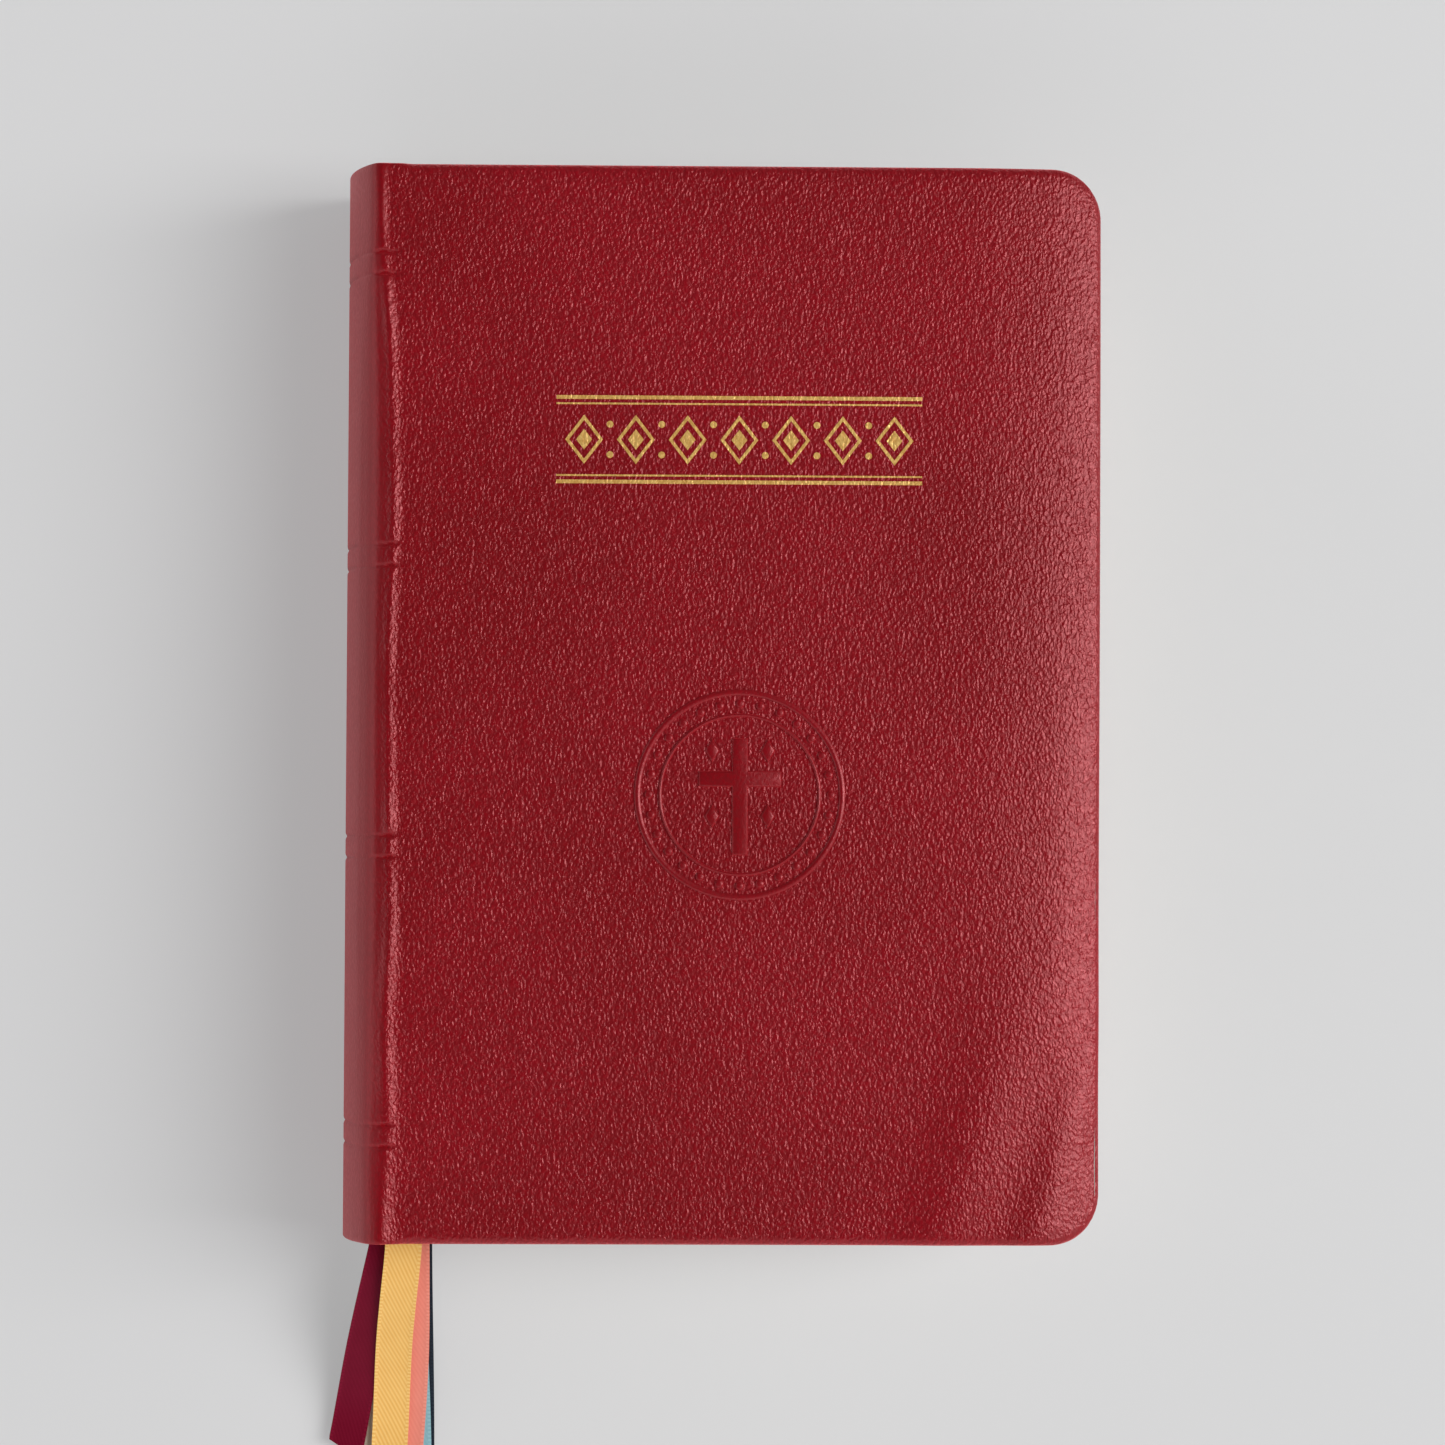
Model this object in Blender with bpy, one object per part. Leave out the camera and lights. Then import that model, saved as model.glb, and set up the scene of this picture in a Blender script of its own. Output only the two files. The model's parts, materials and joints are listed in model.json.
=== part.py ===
"""A limp leather prayer book, shut and lying on its back cover.

The spine is at -X, the fore edge at +X, the head at +Y, the tail at -Y, and +Z is up.
The origin is on the surface that the book lies on, under the middle of its covers.
Lengths are in metres. FRONT and BACK name the two halves, above and below the middle.
"""
import math

import bmesh
import bpy
import numpy as np
from mathutils import Vector

MM = 0.001
FRONT = 1
BACK = -1
SIDE_NAMES = {FRONT: "front", BACK: "back"}

# The whole book, measured over its covers
BOOK_WIDTH = 121 * MM
BOOK_HEIGHT = 171 * MM
BOOK_THICKNESS = 36 * MM

# Round spine: how far its crown stands out, and how far its edges lie below the covers
SPINE_DEPTH = 8.3 * MM
SHOULDER_DROP = 0.8 * MM

# Leather covers with a thin board folded into them
LEATHER = 0.9 * MM
TURN_IN = 0.6 * MM
TURN_IN_WIDTH = 8 * MM
BOARD = 0.9 * MM
BOARD_SETBACK = 3 * MM
CORNER_RADIUS = 8 * MM
CORNER_STEPS = 6

# The limp fore edge is pressed down towards the table, over this length
FORE_EDGE_DROP = 2 * MM
FORE_EDGE_LENGTH = 22 * MM
FORE_EDGE_STEPS = 6

# Paper
ENDPAPER = 0.25 * MM
LEAF = 0.2 * MM
SECTIONS_PER_SIDE = 8
PAGE_CORNER_RADIUS = 6 * MM
HEAD_SQUARE = 3 * MM
FORE_SQUARE = 3 * MM

# Layers between the leather spine and the folds of the pages
INLAY = 0.5 * MM
INLAY_SETBACK = 2.5 * MM
MULL = 0.3 * MM
MULL_SETBACK = 0.6 * MM
MULL_MARGIN = 12 * MM
THREAD = 0.4 * MM
SEWING_MARGIN = 10 * MM
BAND_DIAMETER = 1.2 * MM
SPINE_STEPS = 10

# Bookmark ribbons
RIBBON_WIDTH = 5.9 * MM
RIBBON = 0.2 * MM
RIBBON_HEAD_MARGIN = 2 * MM
RIBBON_FALL_START = 3.5 * MM
RIBBON_FALL_LENGTH = 34 * MM
RIBBON_PILE_BASE = 0.3 * MM
RIBBON_PILE_STEP = 0.45 * MM
RIBBON_STEPS = 30

# Clearances: glued layers, pieces that move apart, and the halves at the middle
GLUE_GAP = 0.2 * MM
PAGE_GAP = 0.3 * MM
RIBBON_GAP = 0.2 * MM
HINGE_GAP = 0.3 * MM
SPLIT_GAP = 0.3 * MM
FOLD_GAP = 0.8 * MM
FRONT_HINGE_LIFT = 0.8 * MM

# Places that follow from those sizes
SPINE_X = -BOOK_WIDTH / 2
FORE_X = BOOK_WIDTH / 2
JOINT_X = SPINE_X + SPINE_DEPTH
HALF_HEIGHT = BOOK_HEIGHT / 2
MID_Z = BOOK_THICKNESS / 2
SHOULDER_Z = MID_Z - SHOULDER_DROP
SPINE_RADIUS = (SHOULDER_Z ** 2 + SPINE_DEPTH ** 2) / (2 * SPINE_DEPTH)
SPINE_CENTRE_X = SPINE_X + SPINE_RADIUS
INLAY_DEPTH = LEATHER + GLUE_GAP
MULL_DEPTH = INLAY_DEPTH + INLAY + GLUE_GAP
FOLD_DEPTH = MULL_DEPTH + MULL + GLUE_GAP + THREAD + GLUE_GAP
FOLD_RADIUS = SPINE_RADIUS - FOLD_DEPTH

BOARD_DEPTH = LEATHER + GLUE_GAP
PASTEDOWN_DEPTH = BOARD_DEPTH + BOARD + GLUE_GAP
COVER_THICKNESS = PASTEDOWN_DEPTH + TURN_IN
FLYLEAF_DEPTH = COVER_THICKNESS + PAGE_GAP
BLOCK_DEPTH = FLYLEAF_DEPTH + ENDPAPER + PAGE_GAP

PAGE_HALF_HEIGHT = HALF_HEIGHT - HEAD_SQUARE
RIBBON_SPACE = RIBBON + 2 * RIBBON_GAP
LEAF_OFFSET = PAGE_GAP / 2
BACK_BLOCK_TOP = MID_Z - LEAF_OFFSET - LEAF - RIBBON_SPACE
FRONT_BLOCK_FOOT = MID_Z + LEAF_OFFSET + LEAF + PAGE_GAP

# The back joint turns further out, so that both covers can be folded right back, one on the other
BACK_HINGE_DROP = FRONT_HINGE_LIFT + (COVER_THICKNESS + FOLD_GAP) / 2
OPENING_AXIS_X = SPINE_X - SPLIT_GAP

CREASE_SHARES = np.linspace(0, 1, FORE_EDGE_STEPS)
CREASE_X = FORE_X - FORE_EDGE_LENGTH * (1 - CREASE_SHARES)

# Each ribbon from the top of the pile down: its colour, and its way over the table seen from above.
# A point is in millimetres, to the right of the ribbon's lane beside the tailband, and out from the
# tail of the pages. The first point is where it leaves the pages, the last where it ends.
RIBBONS = {
    "gold": ((0.855, 0.490, 0.150), [(2.4, 0), (2.2, 6.5), (0.4, 22.5), (-0.6, 40.5), (-1.0, 53.5)]),
    "burgundy": ((0.130, 0.006, 0.018), [(0.4, 0), (-0.9, 6.5), (-4.7, 22.5), (-7.35, 36), (-7.95, 39.65)]),
    "rose": ((0.780, 0.250, 0.190), [(2.7, 0), (2.9, 6.5), (2.6, 22.5), (1.4, 40.5), (0.6, 51.5)]),
    "cream": ((0.680, 0.560, 0.420), [(0, 0), (-0.4, 6.5), (-2.6, 22.5), (-4.9, 40.5), (-6.0, 48.5)]),
    "teal": ((0.230, 0.460, 0.520), [(0.6, 0), (0.7, 6.5), (1.0, 22.5), (1.5, 40.5), (1.9, 54.5)]),
    "navy": ((0.012, 0.016, 0.022), [(0.7, 0), (0.7, 6.5), (0.8, 22.5), (0.9, 40.5), (1.1, 50.5)]),
}
# How far the cut end runs on, from a ribbon's left edge to its right edge, and the length of ribbon
# over which the rows of its mesh turn to lie along that cut
RIBBON_END_SLANT = 2.7 * MM
RIBBON_CUT_LENGTH = 8 * MM


def clear_scene():
    for item in list(bpy.data.objects):
        bpy.data.objects.remove(item)


def make_material(name, colour, roughness, metallic=0.0):
    material = bpy.data.materials.new(name)
    material.use_nodes = True
    shader = material.node_tree.nodes["Principled BSDF"]
    shader.inputs["Base Color"].default_value = (*colour, 1)
    shader.inputs["Roughness"].default_value = roughness
    shader.inputs["Metallic"].default_value = metallic
    material.diffuse_color = (*colour, 1)
    return material


def make_hinge(name, x, z, parent=None):
    """An empty on a joint's axis, which runs along Y."""
    hinge = bpy.data.objects.new(name, None)
    hinge.location = (x, 0, z)
    if parent:
        hinge.location -= parent.location
        hinge.parent = parent
    bpy.context.scene.collection.objects.link(hinge)
    return hinge


def world_place(hinge):
    place = Vector()
    while hinge:
        place += hinge.location
        hinge = hinge.parent
    return place


def add_piece(name, bm, material, hinge=None):
    """Make one named object of a bmesh whose points are in the book's own frame."""
    bmesh.ops.translate(bm, verts=bm.verts[:], vec=-world_place(hinge))
    bmesh.ops.recalc_face_normals(bm, faces=bm.faces[:])
    mesh = bpy.data.meshes.new(name)
    bm.to_mesh(mesh)
    bm.free()
    mesh.materials.append(material)
    piece = bpy.data.objects.new(name, mesh)
    piece.parent = hinge
    bpy.context.scene.collection.objects.link(piece)
    return piece


def cut_away(piece, cutter):
    """Subtract a hidden cutter from a piece."""
    cutter.hide_render = True
    cutter.display_type = "WIRE"
    cut = piece.modifiers.new(cutter.name, "BOOLEAN")
    cut.operation = "DIFFERENCE"
    cut.solver = "EXACT"
    cut.object = cutter


def rounded_outline(left, right, half_height, radius):
    """A panel seen from above: square corners on the left, round ones at the fore edge."""
    points = [(left, half_height), (left, -half_height)]
    for start, y in ((-math.pi / 2, radius - half_height), (0, half_height - radius)):
        for step in range(CORNER_STEPS + 1):
            angle = start + step / CORNER_STEPS * math.pi / 2
            points.append((right - radius + radius * math.cos(angle), y + radius * math.sin(angle)))
    return points


def make_slab(outline, low, high, lean=0.0):
    """An outline raised from one height to another, its top moved along X by the lean."""
    bm = bmesh.new()
    base = bm.faces.new([bm.verts.new((x, y, low)) for x, y in outline])
    raised = bmesh.ops.extrude_face_region(bm, geom=[base])["geom"]
    top = [item for item in raised if isinstance(item, bmesh.types.BMVert)]
    bmesh.ops.translate(bm, verts=top, vec=(lean, 0, high - low))
    return bm


def press_fore_edge(bm):
    """Bend a flat piece down towards the table near the fore edge, in step with all the others."""
    for x in CREASE_X[:-1]:
        everything = bm.verts[:] + bm.edges[:] + bm.faces[:]
        bmesh.ops.bisect_plane(bm, geom=everything, plane_co=(x, 0, 0), plane_no=(1, 0, 0))
    for vert in bm.verts:
        share = np.interp(vert.co.x, CREASE_X, CREASE_SHARES ** 2)
        vert.co.z *= 1 - share * FORE_EDGE_DROP / BOOK_THICKNESS
    return bm


def depth_range(side, depth, thickness):
    """Lowest and highest z of a flat layer at a depth below the cover's outer face."""
    if side == FRONT:
        return BOOK_THICKNESS - depth - thickness, BOOK_THICKNESS - depth
    return depth, depth + thickness


def arc_x(radius, z):
    """Where a layer of the round spine lies at a height, from the layer's radius."""
    rise = min(abs(z - MID_Z), radius)
    return SPINE_CENTRE_X - math.sqrt(radius ** 2 - rise ** 2)


def fold_x(z):
    """Where the folds of the pages lie at a height."""
    return arc_x(FOLD_RADIUS, z)


PAGE_WIDTH = FORE_X - FORE_SQUARE - fold_x(BOOK_THICKNESS - BLOCK_DEPTH)


def page_outline(left):
    return rounded_outline(left, left + PAGE_WIDTH, PAGE_HALF_HEIGHT, PAGE_CORNER_RADIUS)


def cover_outline(left, inset):
    """The cover's own outline, drawn in from the three free edges."""
    radius = max(CORNER_RADIUS - inset, LEATHER)
    return rounded_outline(left, FORE_X - inset, HALF_HEIGHT - inset, radius)


def make_cover(side, hinge, materials):
    """Leather folded round a board on three edges, and the pastedown between the turn-ins."""
    name = SIDE_NAMES[side]
    left = JOINT_X + HINGE_GAP / 2
    beyond_joint = JOINT_X - CORNER_RADIUS
    shell = make_slab(cover_outline(left, 0), *depth_range(side, 0, COVER_THICKNESS))
    leather = add_piece(f"{name}_cover_leather", press_fore_edge(shell), materials["leather"], hinge)

    pocket_depth = BOARD + 2 * GLUE_GAP
    pocket = make_slab(cover_outline(beyond_joint, LEATHER), *depth_range(side, LEATHER, pocket_depth))
    window_range = depth_range(side, LEATHER + pocket_depth / 2, COVER_THICKNESS)
    window = make_slab(cover_outline(beyond_joint, TURN_IN_WIDTH), *window_range)
    for part, shape in (("pocket", pocket), ("window", window)):
        cutter = add_piece(f"{name}_{part}_cutter", press_fore_edge(shape), materials["leather"], hinge)
        cut_away(leather, cutter)

    board_left = JOINT_X + BOARD_SETBACK
    board = make_slab(cover_outline(board_left, LEATHER + GLUE_GAP), *depth_range(side, BOARD_DEPTH, BOARD))
    add_piece(f"{name}_board", press_fore_edge(board), materials["board"], hinge)
    sheet = cover_outline(board_left, TURN_IN_WIDTH + GLUE_GAP)
    pastedown = make_slab(sheet, *depth_range(side, PASTEDOWN_DEPTH, ENDPAPER))
    add_piece(f"{name}_pastedown", press_fore_edge(pastedown), materials["endpaper"], hinge)


def make_spine_layer(side, depth, thickness, joint_setback, half_height):
    """Half of one layer of the round spine, from the middle of the spine to near the joint."""
    bm = bmesh.new()
    end_x = SPINE_CENTRE_X - JOINT_X + joint_setback
    rows = []
    for step in range(SPINE_STEPS + 1):
        row = []
        for radius in (SPINE_RADIUS - depth, SPINE_RADIUS - depth - thickness):
            first = math.asin(SPLIT_GAP / 2 / radius)
            last = math.acos(end_x / radius)
            angle = first + (last - first) * step / SPINE_STEPS
            x = SPINE_CENTRE_X - radius * math.cos(angle)
            row.append(bm.verts.new((x, -half_height, MID_Z + side * radius * math.sin(angle))))
        rows.append(row)
    strip = []
    for (outer, inner), (next_outer, next_inner) in zip(rows, rows[1:]):
        strip.append(bm.faces.new((outer, next_outer, next_inner, inner)))
    raised = bmesh.ops.extrude_face_region(bm, geom=strip)["geom"]
    far_end = [item for item in raised if isinstance(item, bmesh.types.BMVert)]
    bmesh.ops.translate(bm, verts=far_end, vec=(0, 2 * half_height, 0))
    return bm


def make_spine(side, hinge, materials):
    """The leather spine, the card inlay inside it and the mull on the folds, each as a half."""
    name = SIDE_NAMES[side]
    layers = (
        ("spine_leather", "leather", 0, LEATHER, HINGE_GAP / 2, HALF_HEIGHT),
        ("spine_inlay", "card", INLAY_DEPTH, INLAY, INLAY_SETBACK, HALF_HEIGHT - LEATHER - GLUE_GAP),
        ("mull", "mull", MULL_DEPTH, MULL, MULL_SETBACK, PAGE_HALF_HEIGHT - MULL_MARGIN),
    )
    for part, material, depth, thickness, setback, half_height in layers:
        layer = make_spine_layer(side, depth, thickness, setback, half_height)
        piece = add_piece(f"{name}_{part}", layer, materials[material], hinge)
        piece.data.shade_smooth()
        piece.data.set_sharp_from_angle(angle=math.radians(30))


def section_ranges(side):
    """Lowest and highest z of each section of one half, counted from the middle outwards."""
    if side == FRONT:
        inner, outer, gaps = FRONT_BLOCK_FOOT, BOOK_THICKNESS - BLOCK_DEPTH, [PAGE_GAP] * SECTIONS_PER_SIDE
    else:
        ribbon_gaps = [RIBBON_SPACE] * (len(RIBBONS) - 1)
        gaps = ribbon_gaps + [PAGE_GAP] * (SECTIONS_PER_SIDE - len(ribbon_gaps))
        inner, outer = BACK_BLOCK_TOP, BLOCK_DEPTH
    paper = (abs(outer - inner) - sum(gaps[:SECTIONS_PER_SIDE - 1])) / SECTIONS_PER_SIDE
    ranges = []
    start = inner
    for gap in gaps:
        end = start + side * paper
        ranges.append((min(start, end), max(start, end)))
        start = end + side * gap
    return ranges


def make_sections(side, hinge, materials):
    """The folded sections of one half, the sewing along their folds, and the flyleaf outside them."""
    name = SIDE_NAMES[side]
    sewing = []
    for number, (low, high) in enumerate(section_ranges(side), start=1):
        left = fold_x(low)
        lean = fold_x(high) - left
        slab = make_slab(page_outline(left), low, high, lean)
        add_piece(f"{name}_section_{number}", press_fore_edge(slab), materials["paper"], hinge)
        thread_x = left + lean / 2 - GLUE_GAP - THREAD / 2
        along = (PAGE_HALF_HEIGHT - SEWING_MARGIN) * (-1) ** number
        sewing += [Vector((thread_x, y, (low + high) / 2)) for y in (along, -along)]
    make_tube(f"{name}_sewing_thread", sewing, THREAD, materials["thread"], hinge)

    flyleaf_range = depth_range(side, FLYLEAF_DEPTH, ENDPAPER)
    left = fold_x(sum(flyleaf_range) / 2)
    right = FORE_X - FORE_SQUARE
    outline = rounded_outline(left, right, PAGE_HALF_HEIGHT, PAGE_CORNER_RADIUS)
    flyleaf = make_slab(outline, *flyleaf_range)
    add_piece(f"{name}_flyleaf", press_fore_edge(flyleaf), materials["endpaper"], hinge)


def make_tube(name, way, diameter, material, hinge):
    """A round cord along a line of points, closed at both ends."""
    curve = bpy.data.curves.new(name, "CURVE")
    curve.dimensions = "3D"
    curve.bevel_depth = diameter / 2
    curve.bevel_resolution = 2
    curve.use_fill_caps = True
    spline = curve.splines.new("POLY")
    spline.points.add(len(way) - 1)
    for place, point in zip(way, spline.points):
        point.co = (*(place - world_place(hinge)), 1)
    curve.materials.append(material)
    tube = bpy.data.objects.new(name, curve)
    tube.parent = hinge
    bpy.context.scene.collection.objects.link(tube)


def make_bands(side, hinge, materials):
    """Half of the headband and half of the tailband: thin beads along the ends of the folds."""
    name = SIDE_NAMES[side]
    radius = FOLD_RADIUS - BAND_DIAMETER / 2
    first = math.asin(SPLIT_GAP / 2 / radius)
    last = math.asin((MID_Z - BLOCK_DEPTH - BAND_DIAMETER / 2) / radius)
    y = PAGE_HALF_HEIGHT + GLUE_GAP + BAND_DIAMETER / 2
    for part, end in (("headband", 1), ("tailband", -1)):
        way = []
        for step in range(SPINE_STEPS + 1):
            angle = first + (last - first) * step / SPINE_STEPS
            x = SPINE_CENTRE_X - radius * math.cos(angle)
            way.append(Vector((x, end * y, MID_Z + side * radius * math.sin(angle))))
        make_tube(f"{name}_{part}", way, BAND_DIAMETER, materials["band"], hinge)


def make_leaf(name, low, hinge, materials):
    """A leaf at the middle opening."""
    leaf = make_slab(page_outline(fold_x(MID_Z)), low, low + LEAF)
    add_piece(name, press_fore_edge(leaf), materials["paper"], hinge)


def smooth_way(points, steps):
    """Points evenly spaced in parameter on a smooth curve through a few given points."""
    places = [2 * points[0] - points[1], *points, 2 * points[-1] - points[-2]]
    spans = len(points) - 1
    way = []
    for step in range(steps + 1):
        span = min(int(step * spans / steps), spans - 1)
        t = step * spans / steps - span
        before, start, end, after = places[span:span + 4]
        way.append(
            0.5 * (2 * start + (end - before) * t + (2 * before - 5 * start + 4 * end - after) * t ** 2
                   + (3 * start - before - 3 * end + after) * t ** 3))
    return way


def ribbon_way(plan, height, pile_height):
    """A ribbon's middle line: along its gap between the pages, out at the tail and down to the table."""
    lane_x = arc_x(FOLD_RADIUS - BAND_DIAMETER, height) + PAGE_GAP + RIBBON_WIDTH / 2
    free = [Vector((lane_x + x * MM, -PAGE_HALF_HEIGHT - y * MM, height)) for x, y in plan]
    way = [Vector((free[0].x, PAGE_HALF_HEIGHT - RIBBON_HEAD_MARGIN, height))]
    fall_start = free[0].y - RIBBON_FALL_START
    for point in smooth_way(free, RIBBON_STEPS):
        share = min(max((fall_start - point.y) / RIBBON_FALL_LENGTH, 0), 1)
        point.z = height + (pile_height - height) * share ** 2 * (3 - 2 * share)
        way.append(point)
    return way


def make_ribbon(name, way, material):
    """A flat strip along a line, with its far end cut on the slant."""
    bm = bmesh.new()
    rings = []
    for number, point in enumerate(way):
        ahead = way[min(number + 1, len(way) - 1)] - way[max(number - 1, 0)]
        ahead.normalize()
        across = ahead.cross(Vector((0, 0, 1))).normalized() * RIBBON_WIDTH / 2
        up = across.cross(ahead).normalized() * RIBBON / 2
        to_end = sum((after - before).length for before, after in zip(way[number:], way[number + 1:]))
        cut = ahead * RIBBON_END_SLANT / 2 * max(1 - to_end / RIBBON_CUT_LENGTH, 0)
        left = point + across - cut
        right = point - across + cut
        corners = (left + up, left - up, right - up, right + up)
        rings.append([bm.verts.new(corner) for corner in corners])
    bm.faces.new(rings[0])
    bm.faces.new(rings[-1])
    for ring, following in zip(rings, rings[1:]):
        for side in range(4):
            other = (side + 1) % 4
            bm.faces.new((ring[side], ring[other], following[other], following[side]))
    add_piece(name, bm, material)


def make_ribbons():
    """Six ribbons, each in the gap above a section of the back half, in a low pile on the table."""
    ranges = section_ranges(BACK)
    for number, (colour, (shade, plan)) in enumerate(RIBBONS.items()):
        height = ranges[number][1] + RIBBON_GAP + RIBBON / 2
        pile_height = RIBBON_PILE_BASE + (len(RIBBONS) - 1 - number) * RIBBON_PILE_STEP
        material = make_material(f"{colour}_satin", shade, 0.45)
        make_ribbon(f"{colour}_ribbon", ribbon_way(plan, height, pile_height), material)


def make_materials():
    return {
        "leather": make_material("red_leather", (0.200, 0.006, 0.009), 0.42),
        "board": make_material("grey_board", (0.36, 0.34, 0.31), 0.85),
        "endpaper": make_material("endpaper", (0.79, 0.74, 0.64), 0.75),
        "paper": make_material("book_paper", (0.83, 0.80, 0.72), 0.8),
        "card": make_material("spine_card", (0.42, 0.30, 0.18), 0.85),
        "mull": make_material("cotton_mull", (0.78, 0.75, 0.68), 0.9),
        "thread": make_material("linen_thread", (0.74, 0.70, 0.60), 0.8),
        "band": make_material("silk_band", (0.55, 0.05, 0.06), 0.6),
    }


def build_book():
    clear_scene()
    materials = make_materials()
    opening = make_hinge("middle_opening", OPENING_AXIS_X, MID_Z)
    front_joint = make_hinge("front_joint", JOINT_X, BOOK_THICKNESS + FRONT_HINGE_LIFT, opening)
    back_joint = make_hinge("back_joint", JOINT_X, -BACK_HINGE_DROP)
    make_cover(FRONT, front_joint, materials)
    make_cover(BACK, back_joint, materials)
    for side, hinge in ((FRONT, opening), (BACK, None)):
        make_spine(side, hinge, materials)
        make_sections(side, hinge, materials)
        make_bands(side, hinge, materials)
    make_leaf("left_leaf", MID_Z + LEAF_OFFSET, opening, materials)
    make_leaf("right_leaf", MID_Z - LEAF_OFFSET - LEAF, opening, materials)
    make_ribbons()


build_book()
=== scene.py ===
# %% [markdown]
# # A leather prayer book with satin bookmarks
#
# The real object is a thick, limp prayer book: red grained leather over flexible boards, a round
# spine with blind rules, sewn pages, and six satin ribbons that leave the tail beside the spine.
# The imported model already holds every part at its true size, so this lesson only dresses it: it adds
# rounded leather, grain, tooling, paper and weave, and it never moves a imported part.

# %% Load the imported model
import json
import math

import bmesh
import bpy
import numpy as np
from mathutils import Matrix, Vector, noise


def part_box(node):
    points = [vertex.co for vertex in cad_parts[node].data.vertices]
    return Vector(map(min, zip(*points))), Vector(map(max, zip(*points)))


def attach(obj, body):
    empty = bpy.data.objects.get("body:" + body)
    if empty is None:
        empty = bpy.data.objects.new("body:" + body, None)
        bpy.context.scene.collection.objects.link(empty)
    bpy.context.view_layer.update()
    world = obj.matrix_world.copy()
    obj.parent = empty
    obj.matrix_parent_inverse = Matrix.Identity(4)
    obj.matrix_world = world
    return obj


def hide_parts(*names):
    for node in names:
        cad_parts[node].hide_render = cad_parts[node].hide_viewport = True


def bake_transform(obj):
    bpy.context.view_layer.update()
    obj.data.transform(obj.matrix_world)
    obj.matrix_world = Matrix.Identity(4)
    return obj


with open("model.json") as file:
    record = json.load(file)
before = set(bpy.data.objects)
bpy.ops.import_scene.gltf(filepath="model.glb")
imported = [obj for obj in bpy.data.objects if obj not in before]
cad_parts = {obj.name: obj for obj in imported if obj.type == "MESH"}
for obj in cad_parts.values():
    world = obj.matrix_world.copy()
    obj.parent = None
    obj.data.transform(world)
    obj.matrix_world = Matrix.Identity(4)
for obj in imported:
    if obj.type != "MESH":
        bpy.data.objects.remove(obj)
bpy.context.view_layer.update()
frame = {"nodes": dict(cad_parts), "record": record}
nodes = frame["nodes"]

# %% [markdown]
# ## Sizes
#
# The book lies on its back cover. Its spine is at -X, the fore edge at +X, the head at +Y and the
# table at Z = 0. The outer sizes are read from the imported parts. The few sizes that can't be read
# from a box, such as leather thickness, are named here in millimetres.

# %% Sizes of the book
MM = 0.001
FRONT, BACK = 1, -1
SIDE_NAMES = {FRONT: "front", BACK: "back"}

FORE_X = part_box("front_cover_leather")[1].x
HALF_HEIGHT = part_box("front_cover_leather")[1].y
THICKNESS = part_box("front_cover_leather")[1].z
SPINE_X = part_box("back_spine_leather")[0].x
PAGE_HALF_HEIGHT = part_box("front_section_1")[1].y
MID_Z = THICKNESS / 2
JOINTS = {joint["name"]: joint["pos_m"] for joint in frame["record"]["behaviour"]["joints"]}
JOINT_X = JOINTS["front_cover_joint"][0]

SHOULDER_DROP = 0.8 * MM
LEATHER = 0.9 * MM
COVER_THICKNESS = 2.8 * MM
CORNER_RADIUS = 8 * MM
FORE_EDGE_DROP = 2 * MM
FORE_EDGE_LENGTH = 22 * MM
SPINE_DEPTH = JOINT_X - SPINE_X
SPINE_RADIUS = ((MID_Z - SHOULDER_DROP) ** 2 + SPINE_DEPTH ** 2) / (2 * SPINE_DEPTH)
SPINE_CENTRE_X = SPINE_X + SPINE_RADIUS
print("spine radius in mm:", round(SPINE_RADIUS / MM, 2))


def smooth_step(value, low, high):
    """0 below low, 1 above high, and a soft rise between them."""
    share = min(max((value - low) / (high - low), 0), 1)
    return share * share * (3 - 2 * share)


def bell(value, centre, width):
    """1 at the centre, and falling softly to 0 on both sides."""
    return math.exp(-((value - centre) / width) ** 2)


def press_share(x):
    """How far the limp fore edge has sunk at a place: 0 over most of the book, 1 at the edge."""
    return max((x - FORE_X) / FORE_EDGE_LENGTH + 1, 0) ** 2


def pressed(x, z):
    """A height, lowered as the limp fore edge sinks."""
    return z * (1 - press_share(x) * FORE_EDGE_DROP / THICKNESS)


# %% [markdown]
# ## Building blocks
#
# Leather, paper and ribbon are all sheets, so most pieces start as a flat grid. Each grid point keeps
# its own two sheet coordinates, u and v, and a function then puts it where it belongs. Extruding the
# grid gives a second face, which becomes the inside of the sheet.

# %% Helpers that make pieces
def add_piece(name, bm, material, sharp_angle=40):
    """Turn a bmesh in the book's own frame into a named object with smooth shading."""
    mesh = bpy.data.meshes.new(name)
    bm.to_mesh(mesh)
    bm.free()
    mesh.materials.append(material)
    mesh.shade_smooth()
    mesh.set_sharp_from_angle(angle=math.radians(sharp_angle))
    piece = bpy.data.objects.new(name, mesh)
    bpy.context.scene.collection.objects.link(piece)
    print(name, "faces:", len(mesh.polygons))
    return piece


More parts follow.
